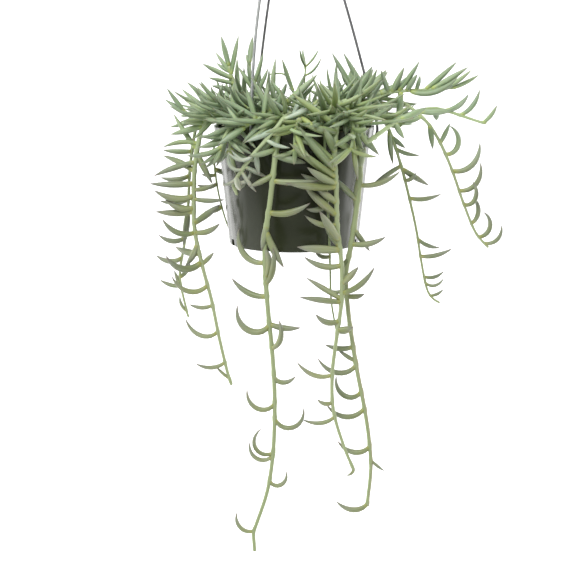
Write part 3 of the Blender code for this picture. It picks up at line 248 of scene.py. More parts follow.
STRANDS = [
    Strand("strand_front_left", [(-5, -44, -20), (-6, -50, 0), (-7, -62, 13), (-13, -78, 5), (-18, -84, -25),
        (-22, -83, -60), (-28, -82, -108), (-25, -82, -171), (-20, -82, -226), (-19, -82, -280),
        (-23, -82, -335), (-33, -82, -376), (-40, -82, -394), (-39, -82, -414)],
        marked=[(-4, 225, 5, 30, 6), (-16, 205, 20, 30, 5), (-22, 340, 10, 30, 6.5), (-40, 215, 15, 26, 5),
            (-47, 355, 12, 45, 5.5), (-77, 350, 45, 43, 6), (-89, 260, 5, 24, 6), (-95, 292, 10, 38, 6.5),
            (-125, 195, 120, 51, 5.5), (-138, 55, 70, 47, 5.5), (-144, 35, 70, 42, 5),
            (-156, 195, 70, 41, 5.5), (-182, 255, 180, 54, 6), (-184, 335, 35, 31, 5.5),
            (-206, 10, 110, 36, 5), (-233, 275, 140, 28, 4.5), (-261, 255, 175, 45, 4.5),
            (-277, 280, 180, 49, 4.5), (-311, 225, 190, 43, 4), (-315, 238, 160, 38, 4),
            (-340, 272, 195, 32, 4), (-393, 205, 130, 32, 4)], leafy=(22, 62), stem=(2.7, 1.8)),
    Strand("strand_front_middle", [(31, -40, -20), (32, -44, 2), (36, -56, 20), (39, -75, 6), (37, -81, -20),
        (39, -81, -54), (41, -80, -100), (46, -80, -142), (42, -80, -187), (37, -80, -225), (38, -80, -270),
        (49, -80, -308), (58, -80, -330)],
        marked=[(3, 149, 0, 54, 6), (-2, 178, 5, 44, 7), (-9, 330, 5, 24, 6), (-18, 148, 5, 42, 6.5),
            (-27, 146, 8, 56, 5.5), (-36, 142, 10, 62, 7), (-43, 152, 10, 60, 6.5), (-50, 160, 10, 47, 6.5),
            (-53, 178, 10, 58, 6.5), (-66, 150, 10, 36, 6.5), (-78, 145, 10, 42, 7), (-89, 190, 50, 34, 5),
            (-102, 138, 10, 44, 7), (-110, 128, 5, 30, 5.5), (-113, 176, 5, 42, 7.5),
            (-127, 200, 60, 39, 5.5), (-146, 45, 5, 24, 6), (-154, 12, 50, 43, 5.5), (-160, 153, 4, 40, 5),
            (-164, 167, -4, 42, 5.5), (-182, 205, 80, 26, 5.5), (-191, 10, 10, 16, 5.5),
            (-235, 202, 75, 40, 4.5), (-260, 235, 105, 18, 4), (-275, 232, 78, 35, 4),
            (-326, 318, -130, 15, 3)], leafy=(22, 62), stem=(2.6, 1.6)),
    Strand("strand_front_right", [(47, -14, -20), (47, -19, 2), (49, -34, 24), (57, -58, 2), (62, -66, -30),
        (59, -67, -74), (53, -66, -120), (49, -66, -150), (55, -66, -192), (59, -66, -222), (69, -66, -272),
        (76, -66, -326), (73, -66, -373)],
        marked=[(4, 284, 5, 42, 6.5), (-1, 300, 5, 30, 5.5), (-16, 200, 10, 29, 5.5),
            (-34, 155, 10, 44, 6.5), (-44, 262, 5, 30, 6.5), (-51, 347, 55, 43, 5), (-66, 140, 5, 34, 5.5),
            (-93, 302, 5, 29, 5), (-108, 348, 45, 38, 5.5), (-121, 258, 65, 19, 5), (-135, 75, 5, 30, 6.5),
            (-158, 327, 65, 18, 5), (-191, 218, 65, 19, 4.5), (-210, 204, 50, 29, 5), (-225, 150, 5, 21, 4),
            (-227, 247, 130, 48, 5), (-255, 251, 175, 44, 5), (-273, 236, 115, 46, 5),
            (-309, 251, 130, 40, 5), (-326, 320, 5, 18, 3), (-370, 245, 115, 38, 5)], leafy=(22, 66),
        stem=(3.0, 1.8)),
    Strand("strand_front_inner", [(17, -52, -20), (19, -57, 0), (24, -70, 10), (28, -80, -4), (29, -76, -40),
        (32, -72, -80), (34, -70, -125), (36, -70, -170), (41, -69, -195)],
        marked=[(-18, 215, 20, 24, 5), (-52, 160, 10, 28, 5.5), (-70, 223, 65, 24, 5),
            (-93, 150, 10, 25, 4.5), (-120, 198, 65, 17, 4), (-153, 314, 95, 15, 3.5)], leafy=(22, 50),
        stem=(1.4, 0.8)),
    Strand("strand_left", [(-44, -20, -20), (-47, -22, 0), (-67, -27, 13), (-87, -30, 3), (-95, -30, -25),
        (-98, -30, -62), (-98, -30, -98), (-91, -30, -135), (-80, -30, -180), (-72, -30, -225),
        (-63, -30, -258)],
        marked=[(2, 199, 5, 34, 6), (4, 180, 5, 22, 5), (-16, 163, -42, 37, 4.5), (-22, 131, 6, 44, 4.5),
            (-24, 292, 5, 35, 6), (-35, 186, -18, 43, 5.5), (-43, 150, -15, 39, 5.5), (-54, 188, 12, 44, 6),
            (-60, 350, 45, 24, 4.5), (-67, 205, 60, 41, 6.5), (-70, 350, 20, 34, 4.5),
            (-78, 201, 65, 31, 6.5), (-83, 190, 15, 41, 6.5), (-93, 32, 5, 32, 6.5),
            (-103, 204, 85, 39, 5.5), (-104, 358, 45, 33, 5.5), (-116, 250, 20, 25, 6),
            (-124, 195, 30, 37, 6.5), (-133, 229, 110, 45, 6.5), (-135, 42, 5, 17, 4.5),
            (-155, 236, 125, 45, 5), (-177, 208, 55, 25, 4), (-203, 235, 130, 45, 4.5),
            (-235, 220, 75, 33, 4), (-253, 140, 5, 20, 3)], leafy=(22, 62), stem=(2.4, 1.6)),
    Strand("strand_left_back", [(-49, 8, -20), (-52, 9, 2), (-72, 10, 15), (-94, 8, 4), (-103, 6, -32),
        (-106, 5, -75), (-110, 5, -115), (-116, 5, -149), (-113, 5, -175), (-108, 5, -196)],
        marked=[(-26, 190, 20, 30, 5), (-52, 207, 45, 30, 5), (-76, 202, 35, 30, 5), (-88, 265, 5, 36, 6.5),
            (-114, 219, 78, 30, 5), (-135, 219, 78, 30, 5), (-154, 27, 55, 20, 4.5), (-163, 194, 50, 24, 4),
            (-166, 120, 10, 20, 4), (-189, 153, 65, 17, 3)], leafy=(22, 60), stem=(1.9, 1.2)),
    Strand("strand_left_inner", [(-39, 30, -20), (-42, 32, 0), (-59, 38, 13), (-77, 40, 0), (-82, 37, -35),
        (-77, 35, -75), (-69, 34, -104), (-59, 34, -128)],
        marked=[(-30, 200, 20, 22, 5), (-49, 345, 10, 24, 5.5), (-53, 202, 35, 16, 4),
            (-63, 218, 65, 22, 4.5), (-86, 222, 45, 20, 5)], leafy=(22, 54), stem=(1.3, 0.8)),
    Strand("strand_right_inner", [(49, 8, -20), (52, 6, 0), (69, -4, 15), (87, -9, 6), (98, -10, -16),
        (110, -10, -54), (117, -10, -82), (126, -10, -122), (130, -10, -152), (138, -10, -171),
        (147, -10, -178)],
        marked=[(-6, 275, 5, 33, 5), (-11, 318, 5, 18, 4.5), (-22, 323, 35, 26, 4), (-39, 210, -5, 38, 4.5),
            (-42, 325, 5, 34, 5.5), (-53, 346, 80, 17, 4), (-73, 348, 35, 34, 4.5), (-114, 320, 40, 24, 4),
            (-130, 353, 40, 34, 4.5), (-152, 339, 65, 22, 3.5), (-157, 304, 115, 24, 3),
            (-170, 347, 65, 15, 3)], leafy=(22, 50), stem=(1.8, 1.1)),
    Strand("strand_right_outer", [(43, 24, -20), (47, 22, 2), (71, 12, 22), (101, 3, 24), (121, 0, 12),
        (137, 0, -4), (148, 0, -24), (163, 0, -58), (174, 0, -90), (183, 0, -108), (196, 0, -123)],
        marked=[(7, 200, 10, 20, 5), (-1, 285, -8, 24, 5), (-18, 62, 5, 22, 4.5), (-29, 344, 170, 42, 5),
            (-46, 345, 110, 46, 5.5), (-66, 350, 115, 42, 5), (-79, 345, 155, 36, 4.5),
            (-99, 31, 105, 32, 4.5), (-111, 341, 170, 36, 4.5), (-119, 345, 115, 30, 4)], leafy=(22, 84),
        stem=(1.9, 1.2), length=(46, 34), width=(7, 5.4)),
    Strand("strand_right_top", [(31, -4, -20), (34, -6, 4), (55, -8, 24), (85, -8, 31), (121, -6, 34),
        (158, -5, 36)],
        marked=[(55, 55, 5, 40, 8), (66, 44, 5, 36, 7.5), (76, 300, 5, 30, 7), (84, 20, 5, 32, 7),
            (92, 112, 5, 25, 4.5), (96, 66, 5, 28, 5), (102, 50, 10, 36, 5), (105, 268, 5, 38, 6),
            (109, 60, 5, 23, 5), (114, 337, 70, 52, 5.5), (120, 75, 5, 15, 4), (128, 34, 10, 43, 5),
            (134, 26, 8, 43, 5.5), (143, 38, 5, 18, 5), (149, 30, 12, 31, 4), (155, 18, 12, 31, 4)],
        leafy=(22, 60), stem=(2.1, 1.1), level_axis=0),
    Strand("strand_right_low", [(57, -34, -20), (58, -40, 0), (61, -62, 13), (63, -79, 4), (66, -83, -10),
        (78, -74, -4), (92, -54, 4), (107, -34, 10), (125, -23, 16), (144, -20, 16), (164, -20, 8),
        (187, -20, 3)],
        marked=[(95, 300, 5, 18, 5), (102, 20, 5, 28, 6), (112, 200, 5, 20, 5), (122, 350, 20, 34, 6),
            (138, 282, 5, 20, 5.5), (148, 7, 55, 28, 5), (161, 15, 62, 34, 4.5), (184, 33, 35, 22, 4)],
        leafy=(22, 40), stem=(2.7, 1.3), level_axis=0),
]

CROWN = [
    Strand("crown_left_1", [(-37, 12, -20), (-44, 10, 8), (-56, 7, 32), (-62, 6, 48), (-64, 6, 57)],
        marked=[(57, 108, 5, 31, 6.5), (54, 118, 5, 27, 7), (52, 132, 5, 24, 5), (50, 148, 5, 18, 4.5),
            (48, 82, 5, 40, 6), (46, 160, 8, 33, 6.5), (41, 172, 5, 27, 5), (32, 165, -5, 28, 6.5),
            (22, 146, 0, 30, 7), (14, 175, 10, 34, 6)], leafy=(18, 58), length=(42, 36), pitch=10, flat=1.0),
    Strand("crown_left_2", [(-21, 4, -20), (-28, 6, 8), (-38, 7, 34), (-43, 7, 50), (-44, 7, 60)],
        marked=[(59, 86, 5, 27, 6.5), (56, 104, 5, 24, 5), (46, 101, 5, 45, 6), (40, 70, 5, 32, 5.5),
            (32, 58, 10, 26, 5), (24, 120, -8, 40, 6.5), (14, 40, 10, 34, 6)], leafy=(18, 58),
        length=(42, 36), pitch=10, flat=1.0),
    Strand("crown_left_3", [(-55, -6, -20), (-59, -7, 0), (-68, -9, 10), (-83, -10, 7), (-96, -12, 8),
        (-107, -12, 13)],
        marked=[(-106, 130, 4, 31, 5.5), (-105, 152, 5, 26, 5.5), (-102, 190, 5, 10, 3.5),
            (-96, 168, 20, 22, 5), (-90, 200, 8, 34, 6), (-86, 182, 10, 24, 5), (-83, 97, 48, 42, 7),
            (-78, 80, 10, 34, 5.5), (-72, 110, 10, 36, 6), (-68, 230, 20, 26, 6)], leafy=(14, 44), pitch=12,
        level_axis=0),
    Strand("crown_left_4", [(-33, -32, -20), (-39, -35, 3), (-59, -38, 18), (-72, -40, 18), (-78, -40, 14)],
        leafy=(20, 999), length=(42, 34), flat=0.3, pitch=12),
    Strand("crown_left_5", [(-27, -48, -20), (-32, -54, 0), (-49, -66, 10), (-63, -76, -2), (-69, -78, -18)],
        length=(42, 32), pitch=11),
    Strand("crown_front", [(-8, -48, -20), (-7, -54, 0), (-6, -66, 15), (-17, -87, 3), (-34, -87, -17),
        (-50, -81, -37), (-57, -76, -50), (-54, -76, -60)],
        marked=[(-54, 345, 130, 24, 4.5), (-47, 318, 150, 26, 4.5), (-35, 215, 150, 28, 4.5),
            (-22, 235, 110, 28, 4.5), (-44, 329, 12, 37, 6.5), (-43, 240, 60, 18, 4.5),
            (-38, 300, 10, 24, 5), (-33, 331, 5, 30, 5.5), (-27, 200, 70, 24, 4.5), (-20, 278, 5, 38, 6.5),
            (-12, 228, 10, 30, 6.5), (-8, 330, 30, 26, 5), (2, 206, 5, 30, 6.5), (10, 10, 5, 36, 6)],
        leafy=(22, 44), stem=(2.2, 1.5), length=(36, 30), width=(6.4, 5.5), pitch=11),
    Strand("crown_middle_1", [(-9, 22, -20), (-10, 25, 2), (-15, 29, 13), (-20, 31, 19)],
        marked=[(18, 103, -25, 47, 6.5), (16, 60, 10, 26, 5), (12, 128, 5, 34, 6)], leafy=(18, 30),
        length=(36, 30), width=(6, 5), pitch=12),
    Strand("crown_middle_2", [(7, 34, -20), (8, 36, 8), (10, 38, 34), (12, 38, 56)], leafy=(66, 999),
        stem=(1.0, 0.8), length=(28, 26), width=(3.6, 3.2), lean=(44, 44)),
    Strand("crown_middle_3", [(21, 16, -20), (23, 17, 2), (27, 14, 15), (39, 8, 22), (53, 4, 23)],
        curl=(-14, 14), lean=(62, 40), pitch=11),
    Strand("crown_middle_4", [(0, 28, -20), (1, 31, 4), (0, 34, 28), (-5, 35, 43), (-13, 35, 49),
        (-26, 35, 48)],
        marked=[(32, 112, 5, 33, 5.5), (24, 60, 10, 28, 5), (46, 100, 10, 18, 3.5)], leafy=(20, 42),
        stem=(1.3, 0.8), length=(30, 24), width=(5, 4), pitch=14),
    Strand("crown_right_1", [(37, 34, -20), (41, 36, 5), (51, 38, 24), (60, 38, 36)],
        marked=[(35, 124, 5, 41, 6.5), (33, 128, 5, 20, 5), (31, 94, 5, 28, 8), (27, 160, 5, 25, 5.5),
            (22, 116, 5, 32, 6), (16, 150, -5, 38, 6.5), (12, 60, 5, 34, 6)], leafy=(18, 56), pitch=13),
    Strand("crown_right_2", [(61, -4, -20), (64, -6, 2), (80, -12, 10), (92, -22, 2)], leafy=(14, 999),
        length=(46, 26), width=(7, 6), pitch=12),
    Strand("crown_right_3", [(58, 16, -20), (61, 18, 4), (68, 20, 20), (73, 20, 32)],
        marked=[(31, 124, 5, 46, 6.5), (30, 42, 5, 31, 8), (26, 76, 5, 30, 5.5), (18, 30, 5, 36, 7.5),
            (10, 160, 5, 36, 6.5)], leafy=(18, 50), pitch=13),
    Strand("crown_drop_1", [(9, -52, -20), (9, -58, 0), (6, -72, 12), (1, -84, 0), (0, -84, -18)],
        length=(46, 32), width=(8.4, 7), lean=(44, 30), curl=(0, 10), pitch=12),
    Strand("crown_drop_2", [(-41, -40, -20), (-46, -46, 0), (-55, -58, 12), (-61, -68, -4), (-61, -70, -20)],
        length=(44, 30), width=(7, 6), lean=(46, 34), curl=(0, 12), pitch=12),
    Strand("crown_centre_1", [(-15, -28, -20), (-16, -34, 2), (-18, -52, 15), (-26, -72, 14), (-40, -79, 7),
        (-56, -75, -3), (-68, -66, -12)],
        marked=[(-66, 205, 20, 26, 6), (-64, 255, 10, 28, 6), (-60, 190, 10, 32, 6), (-55, 222, 5, 30, 7),
            (-48, 130, 5, 26, 5.5), (-46, 244, 5, 41, 8), (-41, 178, 5, 36, 6), (-36, 104, 5, 32, 6.5),
            (-33, 152, 0, 45, 6), (-29, 84, 5, 32, 6), (-26, 215, 10, 38, 6.5), (-23, 130, 0, 38, 6),
            (-19, 65, 5, 30, 6)], leafy=(20, 30), level_axis=0),
    Strand("crown_centre_2", [(19, -26, -20), (19, -30, 2), (14, -38, 14), (3, -44, 20), (-8, -46, 24)],
        marked=[(-7, 40, 5, 40, 8), (-6, 130, 5, 28, 5.5), (-5, 170, 0, 40, 6), (1, 46, 5, 30, 5.5),
            (5, 340, -5, 40, 5.5), (8, 22, 5, 32, 6), (12, 200, 5, 34, 6.5), (16, 75, 5, 24, 6)],
        leafy=(18, 28), level_axis=0),
    Strand("crown_centre_3", [(3, -10, -20), (0, -15, 2), (-13, -28, 13), (-34, -38, 18), (-56, -40, 18),
        (-66, -38, 20)], leafy=(18, 999), lean=(56, 36), pitch=12),
    Strand("crown_centre_4", [(33, -22, -20), (36, -27, 3), (46, -46, 17), (53, -66, 13), (55, -82, -2),
        (52, -88, -16)],
        marked=[(15, 150, 5, 40, 6), (13, 285, 5, 42, 6), (8, 258, 5, 36, 6), (2, 292, 4, 42, 6),
            (-3, 246, 8, 36, 6), (-9, 282, 5, 38, 6)], **OVER_RIM),
    Strand("crown_centre_5", [(11, 6, -20), (10, 3, 0), (6, -10, 9), (-1, -30, 14), (-11, -42, 15)],
        **OVER_RIM),
    Strand("crown_back_1", [(-5, 44, -20), (-9, 48, 4), (-23, 58, 18), (-35, 64, 19)], **BEHIND_CROWN),
    Strand("crown_back_2", [(21, 40, -20), (24, 45, 4), (37, 56, 18), (47, 64, 18)], **BEHIND_CROWN),
    Strand("crown_back_3", [(-49, 26, -20), (-53, 29, 2), (-69, 46, 14), (-81, 56, 9)], **BEHIND_CROWN),
    Strand("crown_back_4", [(59, 22, -20), (63, 24, 2), (81, 30, 12), (97, 36, 3)], **BEHIND_CROWN),
    Strand("strand_back_left", [(-25, 44, -20), (-29, 49, 2), (-43, 64, 13), (-53, 72, 0), (-55, 74, -30),
        (-49, 74, -66)], **BEHIND),
    Strand("strand_back_middle", [(7, 56, -20), (8, 61, 0), (13, 76, 10), (17, 85, -8), (19, 86, -48),
        (15, 86, -92)], **BEHIND),
    Strand("strand_back_right", [(39, 50, -20), (43, 55, 0), (55, 68, 10), (61, 74, -8), (59, 75, -40),
        (53, 73, -76)], **BEHIND),
]


def mix(pair, share):
    return pair[0] + (pair[1] - pair[0]) * share


def way_round(angle):
    """The level way out from the pot's axis at an angle in degrees."""
    return Vector((math.cos(math.radians(angle)), math.sin(math.radians(angle)), 0))


def runs_to(points):
    """The run along a path of points to each of them."""
    runs = [0.0]
    for a, b in zip(points, points[1:]):
        runs.append(runs[-1] + (b - a).length)
    return runs


def runs_along(spots):
    """The same for points that are rows of an array."""
    return np.append(0, np.cumsum(np.linalg.norm(np.diff(spots, axis=0), axis=1)))


def curve_points(a, b, c, d, count):
    """Points that lead from b to c on the smooth curve through a, b, c and d."""
    points = []
    for i in range(1, count + 1):
        t = i / count
        square = (2 * a - 5 * b + 4 * c - d) * t**2
        cube = (3 * b - a - 3 * c + d) * t**3
        points.append((2 * b + (c - a) * t + square + cube) * 0.5)
    return points


def smooth(route, step):
    """Points about `step` apart on the smooth curve that rises out of the soil and runs through the route."""
    ends = [route[0] - SKY * ROOT_DEPTH, *route, route[-1] * 2 - route[-2]]
    fine = [route[0].copy()]
    for four in zip(ends, ends[1:], ends[2:], ends[3:]):
        fine += curve_points(*four, CURVE_STEPS)
    reach = runs_to(fine)
    wanted = np.linspace(0, reach[-1], max(2, round(reach[-1] / step)) + 1)
    table = np.array(fine)
    return np.stack([np.interp(wanted, reach, table[:, k]) for k in range(3)], axis=1)


def smooth_through(points, step):
    """Points about `step` apart on a smooth curve through the given ones, along which it starts and ends."""
    ends = [points[0] * 2 - points[1], *points, points[-1] * 2 - points[-2]]
    fine = [points[0].copy()]
    for four in zip(ends, ends[1:], ends[2:], ends[3:]):
        fine += curve_points(*four, max(1, math.ceil((four[2] - four[1]).length / step)))
    return np.array(fine)


def wire_path(angle, bow_x, bow_y):
    """A hanger wire's middle: out of the sleeve, bowing a little, past the rim and in through its hole."""
    way = way_round(angle)
    bow = Vector((bow_x, bow_y, 0))
    top = way * WIRE_SPREAD + SKY * WIRE_TOP
    foot = way * (RIM_RADIUS + WIRE_RADIUS + WIRE_FOOT[0]) + SKY * WIRE_FOOT[1]
    points = [top + SKY * WIRE_SUNK, top]
    for i in range(1, WIRE_STEPS):
        t = i / WIRE_STEPS
        points.append(top.lerp(foot, t) + bow * math.sin(math.pi * t))
    points.append(foot)
    return points + [way * (RIM_RADIUS + WIRE_RADIUS + out) - SKY * drop for out, drop in WIRE_END]


def chain(points, step):
    """Points at most `step` apart along the straight runs between the given points."""
    spots = []
    for a, b in zip(points, points[1:]):
        count = max(1, math.ceil((b - a).length / step))
        spots += [a.lerp(b, i / count) for i in range(count)]
    return np.array(spots + [points[-1]])


def pot_gaps(spots):
    """How far each spot is from the pot, less than nothing inside it, and the way out from there."""
    x, y, z = spots.T
    r = np.maximum(np.hypot(x, y), 1e-6)
    heights = (-POT_HEIGHT, -RIM_HEIGHT - 2, -RIM_HEIGHT, 0)
    wall = np.interp(z, heights, (BASE_RADIUS, SHOULDER_RADIUS, RIM_BOTTOM_RADIUS, RIM_RADIUS))
    inner = wall - 2 * LIP_RADIUS
    outside = r > (wall + inner) / 2
    gap = np.where(outside, r - wall, inner - r)
    over = z > -LIP_RADIUS
    lift = z + LIP_RADIUS
    beside = r - (RIM_RADIUS - LIP_RADIUS)
    ring = np.maximum(np.hypot(beside, lift), 1e-6)
    gap = np.where(over, ring - LIP_RADIUS, gap)
    radial = np.where(over, beside / ring, np.where(outside, 1.0, -1.0))
    up = np.where(over, lift / ring, 0.0)
    gap = np.where(z < -POT_HEIGHT, np.maximum(r - BASE_RADIUS, -POT_HEIGHT - z), gap)
    return gap, np.stack([radial * x / r, radial * y / r, up], axis=1)


def push_away(spots, others, wanted):
    """What moves each spot away from those of the others that are nearer than wanted."""
    apart = spots[:, None] - others[None]
    far = np.linalg.norm(apart, axis=2) + 1e-9
    return (apart * (np.maximum(wanted - far, 0.0) / far)[:, :, None]).sum(axis=1)


def ease_apart(lines, radii, wires):
    """Bend the stems clear of each other, of the pot and of the wires, by many small even pushes."""
    home = np.concatenate(lines)
    owner = np.repeat(np.arange(len(lines)), [len(line) for line in lines])
    size = np.concatenate(radii)
    shift = np.zeros_like(home)
    starts = np.flatnonzero(np.diff(owner, prepend=-1))
    ends = np.append(starts[1:] - 1, -1)
    from_stems = np.where(owner[:, None] == owner[None], 0.0, size[:, None] + size[None] + EASE_CLEAR)
    from_wires = size[:, None] + WIRE_RADIUS + EASE_CLEAR
    for _ in range(EASE_ROUNDS):
        now = home + shift
        gap, way = pot_gaps(now)
        push = push_away(now, now, from_stems) * 0.5 + push_away(now, wires, from_wires)
        push += way * np.maximum(size + EASE_CLEAR - gap, 0.0)[:, None]
        shift += push * 0.5
        before = np.vstack([shift[:1], shift[:-1]])
        after = np.vstack([shift[1:], shift[-1:]])
        before[starts] = shift[starts]
        after[ends] = shift[ends]
        shift = shift * 0.5 + (before + after) * 0.25
        shift[starts] = 0
    eased = home + shift
    return [eased[owner == k] for k in range(len(lines))]


def thin_out(line):
    """The fewest of a stem's points that still follow its bends."""
    points = [Vector(p) for p in line]
    kept = [0]
    for i in range(1, len(points) - 1):
        first = points[kept[-1] + 1] - points[kept[-1]]
        turn = first.angle(points[i + 1] - points[i])
        run = (points[i] - points[kept[-1]]).length
        if math.degrees(turn) > STEM_TURN or run > STEM_REACH:
            kept.append(i)
    return [points[i] for i in kept] + [points[-1]]


class Stem:
    """A stem as it is modelled: its points, the run along it to each one, and its radii at both ends."""

    def __init__(self, points, ends):
        self.points = points
        self.ends = ends
        self.runs = runs_to(points)
        self.length = self.runs[-1]

    def place(self, run):
        """The point a given run along the stem, and the stem's direction there."""
        k = 0
        while k < len(self.points) - 2 and self.runs[k + 1] < run:
            k += 1
        a, b = self.points[k], self.points[k + 1]
        share = (run - self.runs[k]) / (self.runs[k + 1] - self.runs[k])
        before = self.points[max(0, k - 1)]
        after = self.points[min(len(self.points) - 1, k + 2)]
        bend = (b - before).normalized().lerp((after - a).normalized(), share)
        return a.lerp(b, share), bend.normalized()

    def run_at(self, axis, level):
        """The run at which the stem passes a level for the last time, or its end where it never does."""
        for k in range(len(self.points) - 2, -1, -1):
            a, b = self.points[k][axis], self.points[k + 1][axis]
            if min(a, b) <= level <= max(a, b) and a != b:
                return self.runs[k] + (level - a) / (b - a) * (self.runs[k + 1] - self.runs[k])
        return self.length - END_INSET

    def balls(self):
        spots = chain(self.points, STEM_BALLS)
        return spots, self.ends[0] + (self.ends[1] - self.ends[0]) * runs_along(spots) / self.length


class Crowd:
    """Balls that stand for everything placed so far, to test what comes next against."""

    def __init__(self, stems, wires):
        self.spots = np.empty((0, 3))
        self.sizes = np.empty(0)
        self.owners = np.empty(0, int)
        for k, stem in enumerate(stems):
            self.add(*stem.balls(), k)
        for wire in wires:
            self.add(wire, np.full(len(wire), WIRE_RADIUS), -1)

    def add(self, spots, sizes, owner):
        self.spots = np.vstack([self.spots, spots])
        self.sizes = np.append(self.sizes, sizes)
        self.owners = np.append(self.owners, np.full(len(spots), owner))

    def is_clear(self, spots, sizes, ignored, clear):
        if (pot_gaps(spots)[0] - sizes).min() < clear:
            return False
        in_pot = np.hypot(spots[:, 0], spots[:, 1]) < RIM_BOTTOM_RADIUS
        over_soil = np.where(in_pot & (spots[:, 2] > -POT_HEIGHT), spots[:, 2] - SOIL_TOP, 99.0)
        if (over_soil - sizes).min() < clear:
            return False
        others = ~np.isin(self.owners, ignored)
        far = np.linalg.norm(spots[:, None] - self.spots[None, others], axis=2)
        return (far - sizes[:, None] - self.sizes[None, others]).min() > clear


def leaf_middle(leaf):
    """A leaf's middle, step by step: it sets out along its start and curls up, more so near its root."""
    points = [leaf.root.copy()]
    for i in range(LEAF_STEPS):
        t = (i + 0.5) / LEAF_STEPS
        turn = math.radians(leaf.curl) * ((1 + EARLY_CURL) * t - EARLY_CURL * t * t)
        way = leaf.start * math.cos(turn) + leaf.rise * math.sin(turn)
        points.append(points[-1] + way * leaf.length / LEAF_STEPS)
    return points, leaf.start.cross(leaf.rise)


def leaf_swell(t):
    """A leaf's width at a share of its length, as a share of its full width: stalk, belly and fine point."""
    if t >= 1:
        return 0.0
    belly = math.sin(math.pi * t**0.8) ** 0.7 if t > 0 else 0.0
    return min(1.0, belly + 0.3 * (1 - t) ** 10)


def leaf_balls(leaf):
    """Balls along a leaf's few-sided shape, which has more rings the more it curls, or where it is wide."""
    rank = sum(abs(leaf.curl) > limit for limit in RING_LIMITS)
    middle, _ = leaf_middle(leaf)
    steps = LEAF_RINGS[max(rank, leaf.width > WIDE_LEAF)]
    spots = chain([middle[s] for s in steps], leaf.length / LEAF_BALLS)
    runs = runs_along(spots)
    return spots, np.array([leaf_swell(run / runs[-1]) * leaf.width / 2 for run in runs])


def across(side, along):
    """The part of a direction that is square to the stem, or any square one where nothing is left of it."""
    flat = side - along * side.dot(along)
    if flat.length < 0.2:
        flat = along.orthogonal()
    return flat.normalized()


def rising(start, spare):
    """The way a leaf curls: square to its start and up, or along the spare way where the start is upright."""
    rise = SKY - start * start.z
    if rise.length < UPRIGHT:
        rise = spare - start * start.dot(spare)
    return rise.normalized()


def spiral_leaves(strand, stem, rng):
    """Leaves up a leafy stretch of stem, each a golden angle round, and a tuft at a free end."""
    spots = []
    run, last = strand.leafy
    turn = rng.uniform(0, math.tau)
    while run < min(last, stem.length - 2):
        spots.append((run, turn, 1.0, 0.0))
        run += strand.pitch * rng.uniform(*PITCH_SPREAD)
        turn += GOLDEN_ANGLE + rng.uniform(-TURN_SPREAD, TURN_SPREAD)
    if last > stem.length:
        end = stem.length - END_INSET
        spots += [(end, turn + math.tau * k / 3, TUFT_SHARE, TUFT_LEAN) for k in range(3)]
    leaves = []
    for run, turn, share, closer in spots:
        root, along = stem.place(run)
        t = run / stem.length
        out = Quaternion(along, turn) @ across(SKY.cross(along), along)
        lean = math.radians(mix(strand.lean, t) - closer + rng.uniform(-LEAN_SPREAD, LEAN_SPREAD))
        start = out * math.sin(lean) + along * math.cos(lean)
        start = Vector((start.x, start.y, start.z * strand.flat)).normalized()
        length = mix(strand.length, t) * share * rng.uniform(*LENGTH_SPREAD)
        width = mix(strand.width, t) * (0.5 + 0.5 * share) * rng.uniform(*WIDTH_SPREAD)
        curl = mix(strand.curl, t) + rng.uniform(*CURL_SPREAD)
        leaves.append((run, Leaf(root, start, rising(start, out), length, width, curl)))
    return leaves


def marked_leaves(strand, stem, rng):
    """The leaves seen one by one on a strand, each swung a little towards the front or the back."""
    fuller = STRAND_FULLER if strand in STRANDS else 1.0
    leaves = []
    for level, angle, curl, length, width in strand.marked:
        run = min(stem.run_at(strand.level_axis, level), stem.length - END_INSET)
        root, _ = stem.place(run)
        turn = math.radians(angle)
        swing = Quaternion(SKY, rng.uniform(-MARK_SWING, MARK_SWING))
        start = swing @ Vector((math.cos(turn), 0, math.sin(turn)))
        side = swing @ Vector((math.copysign(1, math.cos(turn)), 0, 0))
        leaves.append((run, Leaf(root, start, rising(start, side), length, width * fuller, curl)))
    return leaves


def grow_leaves(wishes, stem, owner, crowd):
    """Give a stem its leaves, each turned or shortened until it is clear of what is already there."""
    leaves = []
    for run, wanted in wishes:
        _, along = stem.place(run)
        for turn, share in LEAF_TRIES:
            about = Quaternion(along, math.radians(turn))
            start = about @ wanted.start
            rise = rising(start, about @ wanted.rise)
            leaf = wanted._replace(start=start, rise=rise, length=wanted.length * share)
            balls, sizes = leaf_balls(leaf)
            own = len(balls) // 3
            if not crowd.is_clear(balls, sizes, (owner, owner + OWN_LEAVES), CLEAR):
                continue
            if not crowd.is_clear(balls[own:], sizes[own:], (owner,), OWN_CLEAR):
                continue
            crowd.add(balls[own:], sizes[own:], owner + OWN_LEAVES)
            crowd.add(balls[:own], sizes[:own], owner)
            leaves.append(leaf)
            break
    return leaves


def filling_leaves(strand, stem, owner, crowd):
    """Narrower leaves that fill a leafy stretch, lying against each other as they do on the plant."""
    width = tuple(FILL_WIDTH * value for value in strand.width)
    denser = strand._replace(pitch=FILL_PITCH, width=width, flat=FILL_FLAT * strand.flat)
    leaves = []
    for run, wanted in spiral_leaves(denser, stem, random.Random("filling " + strand.name)):
        root, along = stem.place(run)
        if root.z > FILL_TOP or math.hypot(root.x, root.y) > FILL_REACH:
            continue
        for turn in FILL_TURNS:
            about = Quaternion(along, math.radians(turn))
            leaf = wanted._replace(start=about @ wanted.start, rise=about @ wanted.rise)
            if crowd.is_clear(*leaf_balls(leaf), (owner,), FILL_CLEAR):
                leaves.append(leaf)
                break
    return leaves


